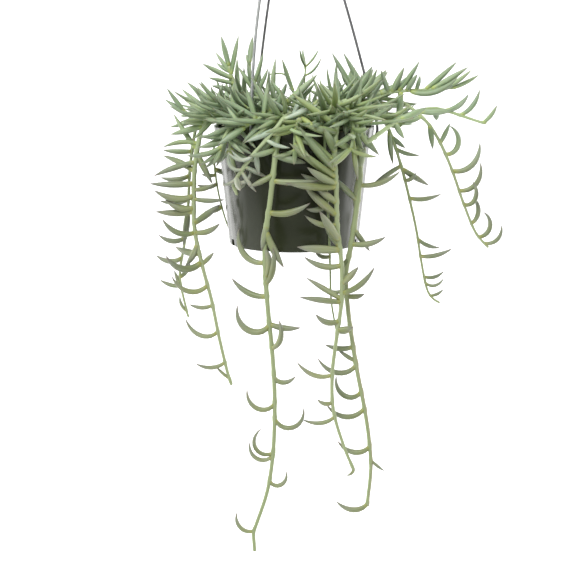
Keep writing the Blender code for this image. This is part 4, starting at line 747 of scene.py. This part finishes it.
def plan_plant():
    """Every strand with its stem and its leaves, all clear of each other, of the pot and of the hanger."""
    strands = STRANDS + CROWN
    wires = [chain(wire_path(*bows), WIRE_BALLS) for bows in WIRE_BOWS.values()]
    lines = [smooth([Vector(p) for p in strand.route], EASE_STEP) for strand in strands]
    radii = [np.linspace(*strand.stem, len(line)) for strand, line in zip(strands, lines)]
    near = np.concatenate(wires)
    lines = ease_apart(lines, radii, near[near[:, 2] < WIRE_REACH])
    stems = [Stem(thin_out(line), strand.stem) for strand, line in zip(strands, lines)]
    crowd = Crowd(stems, wires)
    leaves = [[] for _ in stems]
    for choose in (marked_leaves, spiral_leaves):
        for k, (strand, stem) in enumerate(zip(strands, stems)):
            wishes = choose(strand, stem, random.Random(strand.name + choose.__name__))
            leaves[k] += grow_leaves(wishes, stem, k, crowd)
    crowd = Crowd(stems, wires)
    for k, (strand, stem) in enumerate(zip(strands, stems)):
        leaves[k] += filling_leaves(strand, stem, k, crowd)
    return zip(strands, stems, leaves)


class Paint:
    """A material whose colour, roughness and relief are put together from a few nodes."""

    def __init__(self, name, **values):
        self.material = bpy.data.materials.new(name)
        self.material.use_nodes = True
        self.tree = self.material.node_tree
        self.shader = self.tree.nodes["Principled BSDF"]
        for socket, value in values.items():
            self.shader.inputs[socket.replace("_", " ")].default_value = value

    def node(self, kind, output, inputs, **settings):
        """An output of a new node, whose inputs are set to numbers or linked to other nodes' outputs."""
        node = self.tree.nodes.new("ShaderNode" + kind)
        for setting, value in settings.items():
            setattr(node, setting, value)
        for socket, value in inputs.items():
            if isinstance(value, bpy.types.NodeSocket):
                self.tree.links.new(value, node.inputs[socket])
            else:
                node.inputs[socket].default_value = value
        return node.outputs[output]

    def attribute(self, name, output="Fac"):
        return self.node("Attribute", output, {}, attribute_name=name)

    def place(self):
        return self.node("TexCoord", "Object", {})

    def height(self):
        return self.node("SeparateXYZ", "Z", {0: self.place()})

    def noise(self, vector, scale, detail=3.0, roughness=0.5):
        inputs = {"Scale": scale, "Detail": detail, "Roughness": roughness, "Vector": vector}
        return self.node("TexNoise", "Fac", inputs)

    def math(self, operation, a, b):
        return self.node("Math", 0, {0: a, 1: b}, operation=operation)

    def spread(self, value, low, high, to_low=0.0, to_high=1.0):
        """A value's stretch from low to high, spread smoothly over another stretch."""
        inputs = {0: value, 1: low, 2: high, 3: to_low, 4: to_high}
        return self.node("MapRange", 0, inputs, interpolation_type="SMOOTHSTEP")

    def mix(self, factor, a, b, blend="MIX"):
        """Two colours mixed, each the output of a node or three numbers."""
        a, b = ((*colour, 1) if isinstance(colour, tuple) else colour for colour in (a, b))
        return self.node("Mix", 2, {0: factor, 6: a, 7: b}, data_type="RGBA", blend_type=blend)

    def finish(self, colour, roughness, height, strength, distance):
        """Give the shader its colour, its roughness and the relief of a height."""
        relief = self.node("Bump", 0, {"Strength": strength, "Distance": distance, "Height": height})
        for socket, source in (("Base Color", colour), ("Roughness", roughness), ("Normal", relief)):
            self.tree.links.new(source, self.shader.inputs[socket])
        return self.material


def leaf_paint(name, young, dull, bright, tip, bloom):
    """Waxy grey-green: yellower at the root, brown-purple at the tip, streaked along its length."""
    paint = Paint(name, IOR=1.42, Subsurface_Weight=0.06, Subsurface_Scale=0.004)
    along = paint.attribute("along")
    grain = paint.attribute("grain", "Vector")
    top = paint.attribute("top")
    body = paint.mix(paint.attribute("tint"), dull, bright)
    streaks = paint.noise(grain, 2.4, 4.0, 0.6)
    body = paint.mix(paint.spread(streaks, 0.35, 0.7, 0.0, 0.55), body, bright)
    # the underside darkened as painted shade, and the darker line along the upper side
    body = paint.mix(paint.spread(top, -0.9, -0.1, 0.6, 0.0), body, tuple(0.62 * c for c in dull))
    body = paint.mix(paint.spread(top, 0.86, 0.99, 0.0, 0.5), body, tuple(0.55 * c for c in dull))
    lime = paint.math("MAXIMUM", paint.spread(along, 0.02, 0.2, 1.0, 0.0), paint.attribute("lime"))
    body = paint.mix(paint.math("MULTIPLY", lime, 0.85), body, young)
    patches = paint.noise(grain, 0.9, 2.0)
    body = paint.mix(paint.spread(patches, 0.42, 0.75, 0.0, bloom), body, (0.50, 0.56, 0.50))
    body = paint.mix(paint.spread(paint.height(), *HANGING, 1.0, 0.0), body, OLDER, "MULTIPLY")
    # the greying and the dark tip, less of both in the crown
    aged = paint.spread(paint.height(), *HANGING, 1.0, 0.4)
    ends = paint.math("ADD", along, paint.math("MULTIPLY", paint.math("SUBTRACT", streaks, 0.5), 0.1))
    grey = paint.spread(ends, 0.30, 0.85, 0.0, 0.55)
    body = paint.mix(paint.math("MULTIPLY", grey, aged), body, WEATHERED)
    dark = paint.spread(ends, 0.80, 0.99, 0.0, 0.8)
    body = paint.mix(paint.math("MULTIPLY", dark, aged), body, tip)
    return paint.finish(body, paint.spread(patches, 0.3, 0.75, 0.36, 0.56), streaks, 0.25, 0.0004)


def stem_paint(name):
    """Light green, with brown-pink older stretches and fine lengthwise lines."""
    paint = Paint(name, IOR=1.42)
    grain = paint.attribute("grain", "Vector")
    lines = paint.noise(grain, 3.0, 4.0, 0.6)
    body = paint.mix(paint.attribute("tint"), (0.25, 0.34, 0.14), (0.36, 0.44, 0.24))
    body = paint.mix(paint.spread(lines, 0.4, 0.72, 0.0, 0.5), body, (0.45, 0.50, 0.33))
    old = paint.noise(grain, 0.5, 1.0)
    body = paint.mix(paint.spread(old, 0.58, 0.72, 0.0, 0.5), body, (0.33, 0.27, 0.18))
    body = paint.mix(paint.spread(paint.height(), *HANGING, 1.0, 0.0), body, STEM_OLDER, "MULTIPLY")
    return paint.finish(body, paint.spread(lines, 0.3, 0.7, 0.42, 0.6), lines, 0.3, 0.0004)


def pot_paint():
    """Smooth dark plastic with a soft gloss, faint handling marks and a little dried soil."""
    paint = Paint("pot_plastic_fine", IOR=1.34)
    place = paint.place()
    broad = paint.noise(place, 14.0, 4.0)
    body = paint.mix(paint.spread(broad, 0.35, 0.7), (0.022, 0.026, 0.0125), (0.027, 0.0315, 0.016))
    specks = paint.noise(place, 260.0, 5.0, 0.7)
    body = paint.mix(paint.spread(specks, 0.66, 0.78, 0.0, 0.35), body, (0.09, 0.08, 0.06))
    roughness = paint.spread(broad, 0.3, 0.75, 0.20, 0.22)
    return paint.finish(body, roughness, paint.noise(place, 900.0, 2.0), 0.02, 0.0001)


def metal_paint(name, dark, light, rough):
    """Drawn wire: fine scratches along it and a slightly mottled, dull surface."""
    paint = Paint(name, Metallic=1.0)
    place = paint.place()
    mottled = paint.noise(place, 120.0, 4.0)
    body = paint.mix(paint.spread(mottled, 0.3, 0.7), dark, light)
    roughness = paint.spread(mottled, 0.3, 0.7, rough, rough + 0.18)
    return paint.finish(body, roughness, paint.noise(place, 1500.0, 2.0), 0.1, 0.0001)


def soil_paint(name, dark, light):
    """Damp peat and bark: dark, matt and crumbly."""
    paint = Paint(name)
    place = paint.place()
    lumps = paint.noise(place, 180.0, 6.0, 0.7)
    fibres = paint.noise(place, 700.0, 3.0)
    body = paint.mix(paint.spread(lumps, 0.35, 0.7), dark, light)
    body = paint.mix(paint.spread(fibres, 0.6, 0.8, 0.0, 0.4), body, tuple(1.8 * c for c in light))
    return paint.finish(body, paint.spread(lumps, 0.3, 0.7, 0.8, 0.97), fibres, 0.8, 0.001)


def stage_paint():
    """Plain pale paper, with the faintest cloudiness."""
    paint = Paint("stage_paper", Roughness=0.95, Emission_Color=(1, 1, 1, 1), Emission_Strength=STAGE_GLOW)
    clouds = paint.noise(paint.place(), 1.5, 2.0)
    body = paint.mix(clouds, (0.93, 0.93, 0.93), (0.96, 0.96, 0.96))
    paint.tree.links.new(body, paint.shader.inputs["Base Color"])
    return paint.material


def put(name, data, group=None):
    """A new object in the scene, or in a group of it."""
    made = bpy.data.objects.new(name, data)
    (group or bpy.context.scene.collection).objects.link(made)
    return made


def place_mesh(name, mesh, paints, group=None):
    """An object for a mesh in the pot's millimetres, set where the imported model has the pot's frame."""
    mesh.transform(Matrix.Translation((0, 0, -HANG_HEIGHT * MM)) @ Matrix.Scale(MM, 4))
    for paint in paints:
        mesh.materials.append(paint)
    return put(name, mesh, group)


def smooth_mesh(name, bm):
    """A smooth shaded mesh from a bmesh, which is freed."""
    mesh = bpy.data.meshes.new(name)
    bm.to_mesh(mesh)
    bm.free()
    mesh.polygons.foreach_set("use_smooth", [True] * len(mesh.polygons))
    return mesh


def bm_object(name, bm, paints, group=None):
    bmesh.ops.recalc_face_normals(bm, faces=bm.faces)
    return place_mesh(name, smooth_mesh(name, bm), paints, group)


def hand_over(piece, slot, *nodes):
    """Set a piece into the model in the place of its nodes."""
    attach(piece, "root")
    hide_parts(*nodes)


def ring_frames(points):
    """The way along a path at each point and two ways square to it that don't twist from point to point."""
    ways = np.diff(points, axis=0)
    ways /= np.linalg.norm(ways, axis=1)[:, None]
    along = np.vstack([ways[:1], ways[:-1] + ways[1:], ways[-1:]])
    along /= np.linalg.norm(along, axis=1)[:, None]
    normal = np.array(Vector(along[0]).orthogonal().normalized())
    normals = []
    for way in along:
        normal = normal - way * normal.dot(way)
        normal /= np.linalg.norm(normal)
        normals.append(normal)
    normals = np.array(normals)
    return along, normals, np.cross(along, normals)


def round_rings(points, radii, sides):
    """Rings of points round a path, for a round body."""
    _, normals, crosses = ring_frames(points)
    angles = np.arange(sides) * math.tau / sides
    cosines, sines = np.cos(angles)[None, :, None], np.sin(angles)[None, :, None]
    around = normals[:, None] * cosines + crosses[:, None] * sines
    return points[:, None] + around * np.asarray(radii)[:, None, None]


def skin(rings):
    """A bmesh over rings of points, with a flat face at each end."""
    bm = bmesh.new()
    rings = [[bm.verts.new(p) for p in ring] for ring in rings]
    for low, high in zip(rings, rings[1:]):
        for k in range(len(low)):
            n = (k + 1) % len(low)
            bm.faces.new((low[k], low[n], high[n], high[k]))
    bm.faces.new(rings[0][::-1])
    bm.faces.new(rings[-1])
    return bm


class Growth:
    """Round bodies that grow out of each other, gathered into one mesh with what their paints read."""

    def __init__(self):
        self.spots = []
        self.faces = []
        self.slots = []
        self.values = {"along": [], "tint": [], "lime": [], "top": []}
        self.grain = []
        self.count = 0

    def add(self, rings, tip, slot, along, tint, lime, seed):
        """One body from rings of points and a tip; the paints read how far along each ring is."""
        count, sides, _ = rings.shape
        angles = np.arange(sides) * math.tau / sides
        self.spots += [rings.reshape(-1, 3), np.array([rings[0].mean(axis=0), tip])]
        base = self.count
        middle = base + count * sides
        last = middle - sides
        for k in range(base, last):
            n = k + 1 if (k + 1 - base) % sides else k + 1 - sides
            self.faces.append((k, n, n + sides, k + sides))
        for k in range(sides):
            n = (k + 1) % sides
            self.faces += [(base + n, base + k, middle), (last + k, last + n, middle + 1)]
        self.slots += [slot] * (count + 1) * sides
        steps = np.append(np.repeat(along, sides), [along[0], 1.0])
        lines = np.tile(np.stack([np.cos(angles), np.sin(angles)], axis=1), (count, 1))
        lines = np.vstack([lines, np.zeros((2, 2))])
        whole = np.ones(len(steps))
        for key, value in zip(self.values, (steps, whole * tint, whole * lime, lines[:, 1])):
            self.values[key].append(value)
        self.grain.append(np.column_stack([lines, steps * 0.9 + seed]))
        self.count += len(steps)

    def mesh(self, name):
        mesh = bpy.data.meshes.new(name)
        mesh.from_pydata(np.vstack(self.spots).tolist(), [], self.faces)
        mesh.polygons.foreach_set("material_index", self.slots)
        mesh.polygons.foreach_set("use_smooth", [True] * len(mesh.polygons))
        for key, parts in self.values.items():
            mesh.attributes.new(key, "FLOAT", "POINT").data.foreach_set("value", np.concatenate(parts))
        grain = mesh.attributes.new("grain", "FLOAT_VECTOR", "POINT")
        grain.data.foreach_set("vector", np.vstack(self.grain).ravel())
        return mesh


def grow_stem(growth, stem, leaves, rng):
    """A stem that swells where its leaves leave it. Returns the points of its middle."""
    above = smooth(stem.points, STEM_STEP)
    below = np.array([stem.points[0] - SKY * ROOT_DEPTH, stem.points[0] - SKY * ROOT_DEPTH / 2])
    points = np.vstack([below, above])
    runs = runs_along(above)
    thick, thin = stem.ends
    radii = thick + (thin - thick) * runs / runs[-1]
    if leaves:
        roots = np.array([leaf.root for leaf in leaves])
        near = np.linalg.norm(above[:, None] - roots[None], axis=2).min(axis=1)
        radii = radii * (1 + NODE_SWELL * np.exp(-((near / NODE_REACH) ** 2)))
    rings = round_rings(points, np.concatenate([[thick] * 2, radii]), STEM_SIDES)
    tip = points[-1] + (points[-1] - points[-2]) / STEM_STEP * thin * 0.7
    growth.add(rings, tip, 0, np.append([0, 0], runs / runs[-1]), rng.random(), 0.0, rng.uniform(0, 60))
    return above


def round_swell(t):
    """The fuller outline of a round leaf, which keeps its width for longer than the plain solid's."""
    belly = math.sin(math.pi * t**0.8) ** (0.45 + 0.38 * t) if t > 0 else 0.0
    return 0.93 * min(1.0, belly + 0.35 * (1 - t) ** 10)


def grow_leaf(growth, leaf, stem_line, rng, lime):
    """A leaf as a long spindle with a shallow line along its upper side and a fine tip."""
    middle, wide = leaf_middle(leaf)
    root = np.array(leaf.root)
    nearest = stem_line[np.linalg.norm(stem_line - root, axis=1).argmin()]
    wide = np.array(wide)
    sway = np.sin(np.linspace(0, rng.uniform(2.2, 4.4), LEAF_STEPS + 1)) * leaf.length * LEAF_SWAY
    fading = np.linspace(1, 0, LEAF_STEPS + 1)[:, None] ** 3
    points = np.array(middle) + wide * (sway * rng.choice((-1, 1)))[:, None] + (nearest - root) * fading
    along, _, _ = ring_frames(points)
    deep = np.cross(wide, along)
    angles = np.arange(LEAF_SIDES) * math.tau / LEAF_SIDES
    off_top = np.abs((angles - math.pi / 2 + math.pi) % math.tau - math.pi)
    thick = LEAF_DEPTH * (1 - GROOVE * np.exp(-((off_top / GROOVE_REACH) ** 2)))
    rings = []
    for step in RING_STEPS:
        half = leaf.width / 2 * round_swell(step / LEAF_STEPS)
        offset = np.outer(np.cos(angles), wide) + np.outer(np.sin(angles) * thick, deep[step])
        rings.append(points[step] + offset * half)
    shares = np.array(RING_STEPS) / LEAF_STEPS
    growth.add(np.array(rings), points[-1], 1, shares, rng.random(), lime, rng.uniform(0, 60))


def make_strand(strand, stem, leaves, paints):
    """A rooted stem with its leaves, in the place of the plain solid."""
    growth = Growth()
    rng = random.Random("looks " + strand.name)
    line = grow_stem(growth, stem, leaves, rng)
    for leaf in leaves:
        lime = LIME_LEAVES.get(strand.name, 0.0) * rng.random()
        grow_leaf(growth, leaf, line, rng, lime)
    name = strand.name + "_fine"
    piece = place_mesh(name, growth.mesh(name), paints)
    hand_over(piece, "pale_foliage" if strand.name == PALE_STRAND else "foliage", strand.name)


def make_plant():
    leaf = leaf_paint("leaf_green", young=(0.38, 0.45, 0.11), dull=(0.16, 0.235, 0.12),
                      bright=(0.31, 0.405, 0.215), tip=(0.13, 0.105, 0.095), bloom=0.3)
    pale = leaf_paint("leaf_pale", young=(0.45, 0.54, 0.30), dull=(0.27, 0.36, 0.25),
                      bright=(0.46, 0.54, 0.42), tip=(0.33, 0.29, 0.24), bloom=0.6)
    bark = stem_paint("stem_green")
    for strand, stem, leaves in plan_plant():
        make_strand(strand, stem, leaves, [bark, pale if strand.name == PALE_STRAND else leaf])


def pot_outline():
    """The pot's outline for the lathe, as radii and heights: the solids' own, with its edges rounded."""
    outline = [(0, -POT_HEIGHT), (BASE_RADIUS - 5, -POT_HEIGHT), (BASE_RADIUS - 2, -POT_HEIGHT)]
    outline += [(BASE_RADIUS - 0.7, -POT_HEIGHT + 0.5), (BASE_RADIUS, -POT_HEIGHT + 2)]
    outline += [(SHOULDER_RADIUS, -RIM_HEIGHT - 1), (SHOULDER_RADIUS + 0.4, -RIM_HEIGHT - 0.6)]
    outline += [(RIM_BOTTOM_RADIUS - 0.5, -RIM_HEIGHT - 0.1), (RIM_BOTTOM_RADIUS, -RIM_HEIGHT + 0.4)]
    outline += [(RIM_RADIUS - 0.35, -2 * LIP_RADIUS - 0.6)]
    lip = RIM_RADIUS - LIP_RADIUS
    for i in range(LIP_STEPS + 1):
        angle = math.radians(-20 + 220 * i / LIP_STEPS)
        outline.append((lip + LIP_RADIUS * math.cos(angle), -LIP_RADIUS + LIP_RADIUS * math.sin(angle)))
    outline += [(RIM_RADIUS - WALL - 0.5, -2 * LIP_RADIUS - 0.6), (RIM_BOTTOM_RADIUS - WALL, -RIM_HEIGHT + 1)]
    outline += [(SHOULDER_RADIUS - WALL, -RIM_HEIGHT - 1.5)]
    outline += [(BASE_RADIUS - WALL, -POT_HEIGHT + FLOOR), (0, -POT_HEIGHT + FLOOR)]
    return outline


def lathed(outline, segments):
    """A bmesh turned about the pot's axis from a closed outline of radii and heights."""
    bm = bmesh.new()
    columns = []
    for i in range(segments):
        angle = math.tau * i / segments
        turned = []
        for radius, height in outline:
            if radius == 0 and columns:
                turned.append(columns[0][len(turned)])
            else:
                turned.append(bm.verts.new((radius * math.cos(angle), radius * math.sin(angle), height)))
        columns.append(turned)
    for here, there in zip(columns, columns[1:] + columns[:1]):
        for k in range(len(outline)):
            n = (k + 1) % len(outline)
            corners = list(dict.fromkeys((here[k], there[k], there[n], here[n])))
            if len(corners) > 2:
                bm.faces.new(corners)
    return bm


def rod(start, way, radius, sides=BORE_SIDES):
    """A round bar as a bmesh, for cutting."""
    return skin(round_rings(np.array([start, start + way], float), [radius, radius], sides))


def cut(piece, cutters):
    """Cut bars from a piece by one Boolean; the bars are then removed."""
    group = bpy.data.collections.new(piece.name + "_cutters")
    bpy.context.scene.collection.children.link(group)
    bars = [bm_object(f"{piece.name}_cutter_{i}", bm, [], group) for i, bm in enumerate(cutters)]
    boolean = piece.modifiers.new("cut", "BOOLEAN")
    boolean.operation = "DIFFERENCE"
    boolean.operand_type = "COLLECTION"
    boolean.collection = group
    boolean.solver = "EXACT"
    graph = bpy.context.evaluated_depsgraph_get()
    mesh = bpy.data.meshes.new_from_object(piece.evaluated_get(graph))
    piece.modifiers.remove(boolean)
    old = piece.data
    piece.data = mesh
    mesh.name = piece.name
    bpy.data.meshes.remove(old)
    for bar in bars:
        bpy.data.objects.remove(bar)
    bpy.data.collections.remove(group)
    mesh.polygons.foreach_set("use_smooth", [True] * len(mesh.polygons))
    mesh.set_sharp_from_angle(angle=math.radians(SHARP_ANGLE))


def make_pot():
    pot = bm_object("pot_fine", lathed(pot_outline(), POT_SEGMENTS), [pot_paint()])
    cutters = []
    for i in range(DRAIN_HOLES):
        at = way_round(360 * (i + 0.5) / DRAIN_HOLES) * (BASE_RADIUS - DRAIN_RADIUS / 2)
        below, length = DRAIN_CUT
        cutters.append(rod(at - SKY * (POT_HEIGHT + below), SKY * length, DRAIN_RADIUS, DRAIN_SIDES))
    for angle, _, _ in WIRE_BOWS.values():
        inside, length = WIRE_HOLE_CUT
        start = way_round(angle) * (RIM_RADIUS - inside) - SKY * WIRE_HOLE_DROP
        cutters.append(rod(start, way_round(angle) * length, WIRE_HOLE_RADIUS))
    cut(pot, cutters)
    hand_over(pot, "pot_plastic", "pot")


def soil_height(x, y):
    waves = math.sin(x / 9.0 + 1.3) + math.sin(y / 7.0 + x / 16.0) + math.sin((x - y) / 5.5)
    rough = noise.fractal(Vector((x * 0.16, y * 0.16, 2.0)), 0.8, 2.2, 5)
    return SOIL_TOP - 1.6 + waves * 0.25 + rough * 1.1


def make_soil():
    """The plug of soil with a crumbly top, and the loose crumbs on it."""
    base = BASE_RADIUS - WALL - SOIL_GAP - 0.1
    top = SHOULDER_RADIUS - WALL - SOIL_GAP - 0.6
    levels = [(base, -POT_HEIGHT + FLOOR + SOIL_GAP), (top, SOIL_TOP - SOIL_EDGE)]
    levels += [(top - 1.5 - (top - 1.5) * i / SOIL_RINGS, None) for i in range(SOIL_RINGS)]
    rings = []
    for radius, height in levels:
        ring = []
        for i in range(SOIL_SEGMENTS):
            x = radius * math.cos(math.tau * i / SOIL_SEGMENTS)
            y = radius * math.sin(math.tau * i / SOIL_SEGMENTS)
            ring.append((x, y, soil_height(x, y) if height is None else height))
        rings.append(ring)
    peat = soil_paint("soil_peat", (0.012, 0.009, 0.006), (0.045, 0.032, 0.022))
    hand_over(bm_object("soil_fine", skin(rings), [peat]), "soil", "soil")
    make_crumbs(top - 4)


def make_crumbs(reach):
    bark = soil_paint("soil_bark", (0.03, 0.018, 0.01), (0.12, 0.075, 0.04))
    white = soil_paint("soil_grit", (0.30, 0.29, 0.26), (0.55, 0.54, 0.50))
    rng = random.Random("crumbs")
    bm = bmesh.new()
    for i in range(CRUMBS):
        angle, out = rng.uniform(0, math.tau), reach * math.sqrt(rng.random())
        x, y = out * math.cos(angle), out * math.sin(angle)
        size = rng.uniform(*CRUMB_SIZES)
        turn = Quaternion(Vector((rng.gauss(0, 1), rng.gauss(0, 1), rng.gauss(0, 1))).normalized(), angle)
        shape = Matrix.Diagonal((rng.uniform(0.7, 1.6), rng.uniform(0.6, 1.1), rng.uniform(0.5, 0.9), 1))
        place = Matrix.Translation((x, y, soil_height(x, y) + size * 0.2)) @ turn.to_matrix().to_4x4() @ shape
        lump = bmesh.ops.create_icosphere(bm, subdivisions=2, radius=size)
        for vert in lump["verts"]:
            vert.co *= 1 + 0.35 * noise.noise(vert.co * 0.9 + Vector((i, 0, 0)))
        bmesh.ops.transform(bm, matrix=place, verts=lump["verts"])
        chosen = 1 if rng.random() < WHITE_SHARE else 0
        for face in {face for vert in lump["verts"] for face in vert.link_faces}:
            face.material_index = chosen
    crumbs = bm_object("soil_crumbs", bm, [bark, white])
    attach(crumbs, "root")


def make_sleeve(paint):
    """The crimp sleeve, pressed in at two places, with the wires in its foot and the shank in its top."""
    foot, top = WIRE_TOP, WIRE_TOP + SLEEVE_HEIGHT
    outline = [(0, foot), (SLEEVE_RADIUS - SLEEVE_EDGE, foot), (SLEEVE_RADIUS, foot + SLEEVE_EDGE)]
    for share in CRIMPS:
        middle = foot + SLEEVE_HEIGHT * share
        outline += [(SLEEVE_RADIUS - depth, middle + step) for step, depth in CRIMP_OUTLINE]
    outline += [(SLEEVE_RADIUS, top - SLEEVE_EDGE), (SLEEVE_RADIUS - SLEEVE_EDGE, top), (0, top)]
    sleeve = bm_object("sleeve_fine", lathed(outline, SLEEVE_SEGMENTS), [paint])
    cutters = []
    for angle, _, _ in WIRE_BOWS.values():
        bore = way_round(angle) * WIRE_SPREAD + SKY * (foot - 1)
        cutters.append(rod(bore, SKY * (WIRE_SUNK + 1 + BORE_GAP), WIRE_RADIUS + BORE_GAP))
    depth = HOOK_SUNK + BORE_GAP
    cutters.append(rod(SKY * (top - depth), SKY * (depth + 1), HOOK_RADIUS + BORE_GAP))
    cut(sleeve, cutters)
    hand_over(sleeve, "dark_metal", "sleeve")


def hook_path():
    """The hook's middle: up out of the sleeve, out to one side and over the top."""
    top = WIRE_TOP + SLEEVE_HEIGHT
    middle = HANG_HEIGHT + HOOK_RADIUS - CROOK_RADIUS
    bend = top + SHANK_RISE
    points = [SKY * (top - HOOK_SUNK), SKY * bend]
    for out, up in HOOK_SWING:
        points.append(Vector((CROOK_RADIUS * out, 0, bend + (middle - bend) * up)))
    for i in range(CROOK_STEPS + 1):
        angle = math.radians(CROOK_TURN * i / CROOK_STEPS)
        points.append(Vector((CROOK_RADIUS * math.cos(angle), 0, middle + CROOK_RADIUS * math.sin(angle))))
    return points


def make_bar(node, points, radius, paint, slot):
    """A smooth round bar with slightly rounded ends, in the place of a node."""
    fine = smooth_through(points, BAR_STEP)
    radii = np.full(len(fine), radius)
    radii[[0, -1]] *= BAR_END
    bar = bm_object(node + "_fine", skin(round_rings(fine, radii, WIRE_SIDES)), [paint])
    bar.data.set_sharp_from_angle(angle=math.radians(SHARP_ANGLE))
    hand_over(bar, slot, node)


def make_hanger():
    # one wire paint in two copies: the lighter one is painted lit and the darker one painted shaded; the hook
    # takes the lighter, the sleeve the darker
    dark = metal_paint("dark_wire", (0.14, 0.14, 0.145), (0.23, 0.23, 0.235), 0.42)
    bright = metal_paint("bright_wire", (0.20, 0.21, 0.205), (0.30, 0.31, 0.30), 0.45)
    make_sleeve(dark)
    make_bar("hook", hook_path(), HOOK_RADIUS, bright, "bright_metal")
    for side, bows in WIRE_BOWS.items():
        # painted light: the front wire takes the lit copy, the right and back wires the shaded copy
        looks = (bright, "bright_metal") if side == "front" else (dark, "dark_metal")
        make_bar("wire_" + side, wire_path(*bows), WIRE_RADIUS, *looks)


def make_stage():
    """A pale sweep of paper: a floor that curves up into a wall behind."""
    steps = [(STAGE_FRONT, STAGE_FLOOR), (STAGE_BACK - STAGE_BEND, STAGE_FLOOR)]
    for i in range(1, 13):
        angle = math.radians(90 * i / 12)
        back = STAGE_BACK - STAGE_BEND * (1 - math.sin(angle))
        steps.append((back, STAGE_FLOOR + STAGE_BEND * (1 - math.cos(angle))))
    steps.append((STAGE_BACK, STAGE_TOP))
    bm = bmesh.new()
    rows = [[bm.verts.new((x, y, z)) for x in (-STAGE_SIDE, STAGE_SIDE)] for y, z in steps]
    for low, high in zip(rows, rows[1:]):
        bm.faces.new((low[0], low[1], high[1], high[0]))
    stage = put("stage", smooth_mesh("stage", bm))
    stage.data.materials.append(stage_paint())


def make_lights():
    for name, place, size, watts in LIGHTS:
        lamp = bpy.data.lights.new(name, "AREA")
        lamp.shape = "RECTANGLE"
        lamp.size, lamp.size_y = size
        lamp.energy = watts
        made = put(name, lamp)
        made.location = place
        made.rotation_euler = (Vector(LIGHT_TARGET) - Vector(place)).to_track_quat("-Z", "Y").to_euler()
    world = bpy.data.worlds.new("studio")
    world.use_nodes = True
    world.node_tree.nodes["Background"].inputs["Color"].default_value = (1, 1, 1, 1)
    world.node_tree.nodes["Background"].inputs["Strength"].default_value = WORLD_STRENGTH
    bpy.context.scene.world = world


def make_camera():
    """The photo's view: a little above the pot, looking down by VIEW_TILT."""
    tilt = math.radians(VIEW_TILT)
    target = Vector(VIEW_TARGET) - SKY * HANG_HEIGHT
    way = Vector((0, math.cos(tilt), -math.sin(tilt)))
    lens = bpy.data.cameras.new("camera")
    lens.sensor_fit = "HORIZONTAL"
    lens.sensor_width = SENSOR
    lens.lens = SENSOR * VIEW_FOCAL
    lens.clip_start = 0.05
    camera = put("camera", lens)
    camera.location = (target - way * VIEW_DISTANCE) * MM
    camera.rotation_euler = (math.radians(90) - tilt, 0, 0)
    bpy.context.scene.camera = camera


bpy.context.scene.view_settings.view_transform = "Standard"
make_camera()
make_pot()
make_soil()
make_hanger()
make_plant()
make_stage()
make_lights()
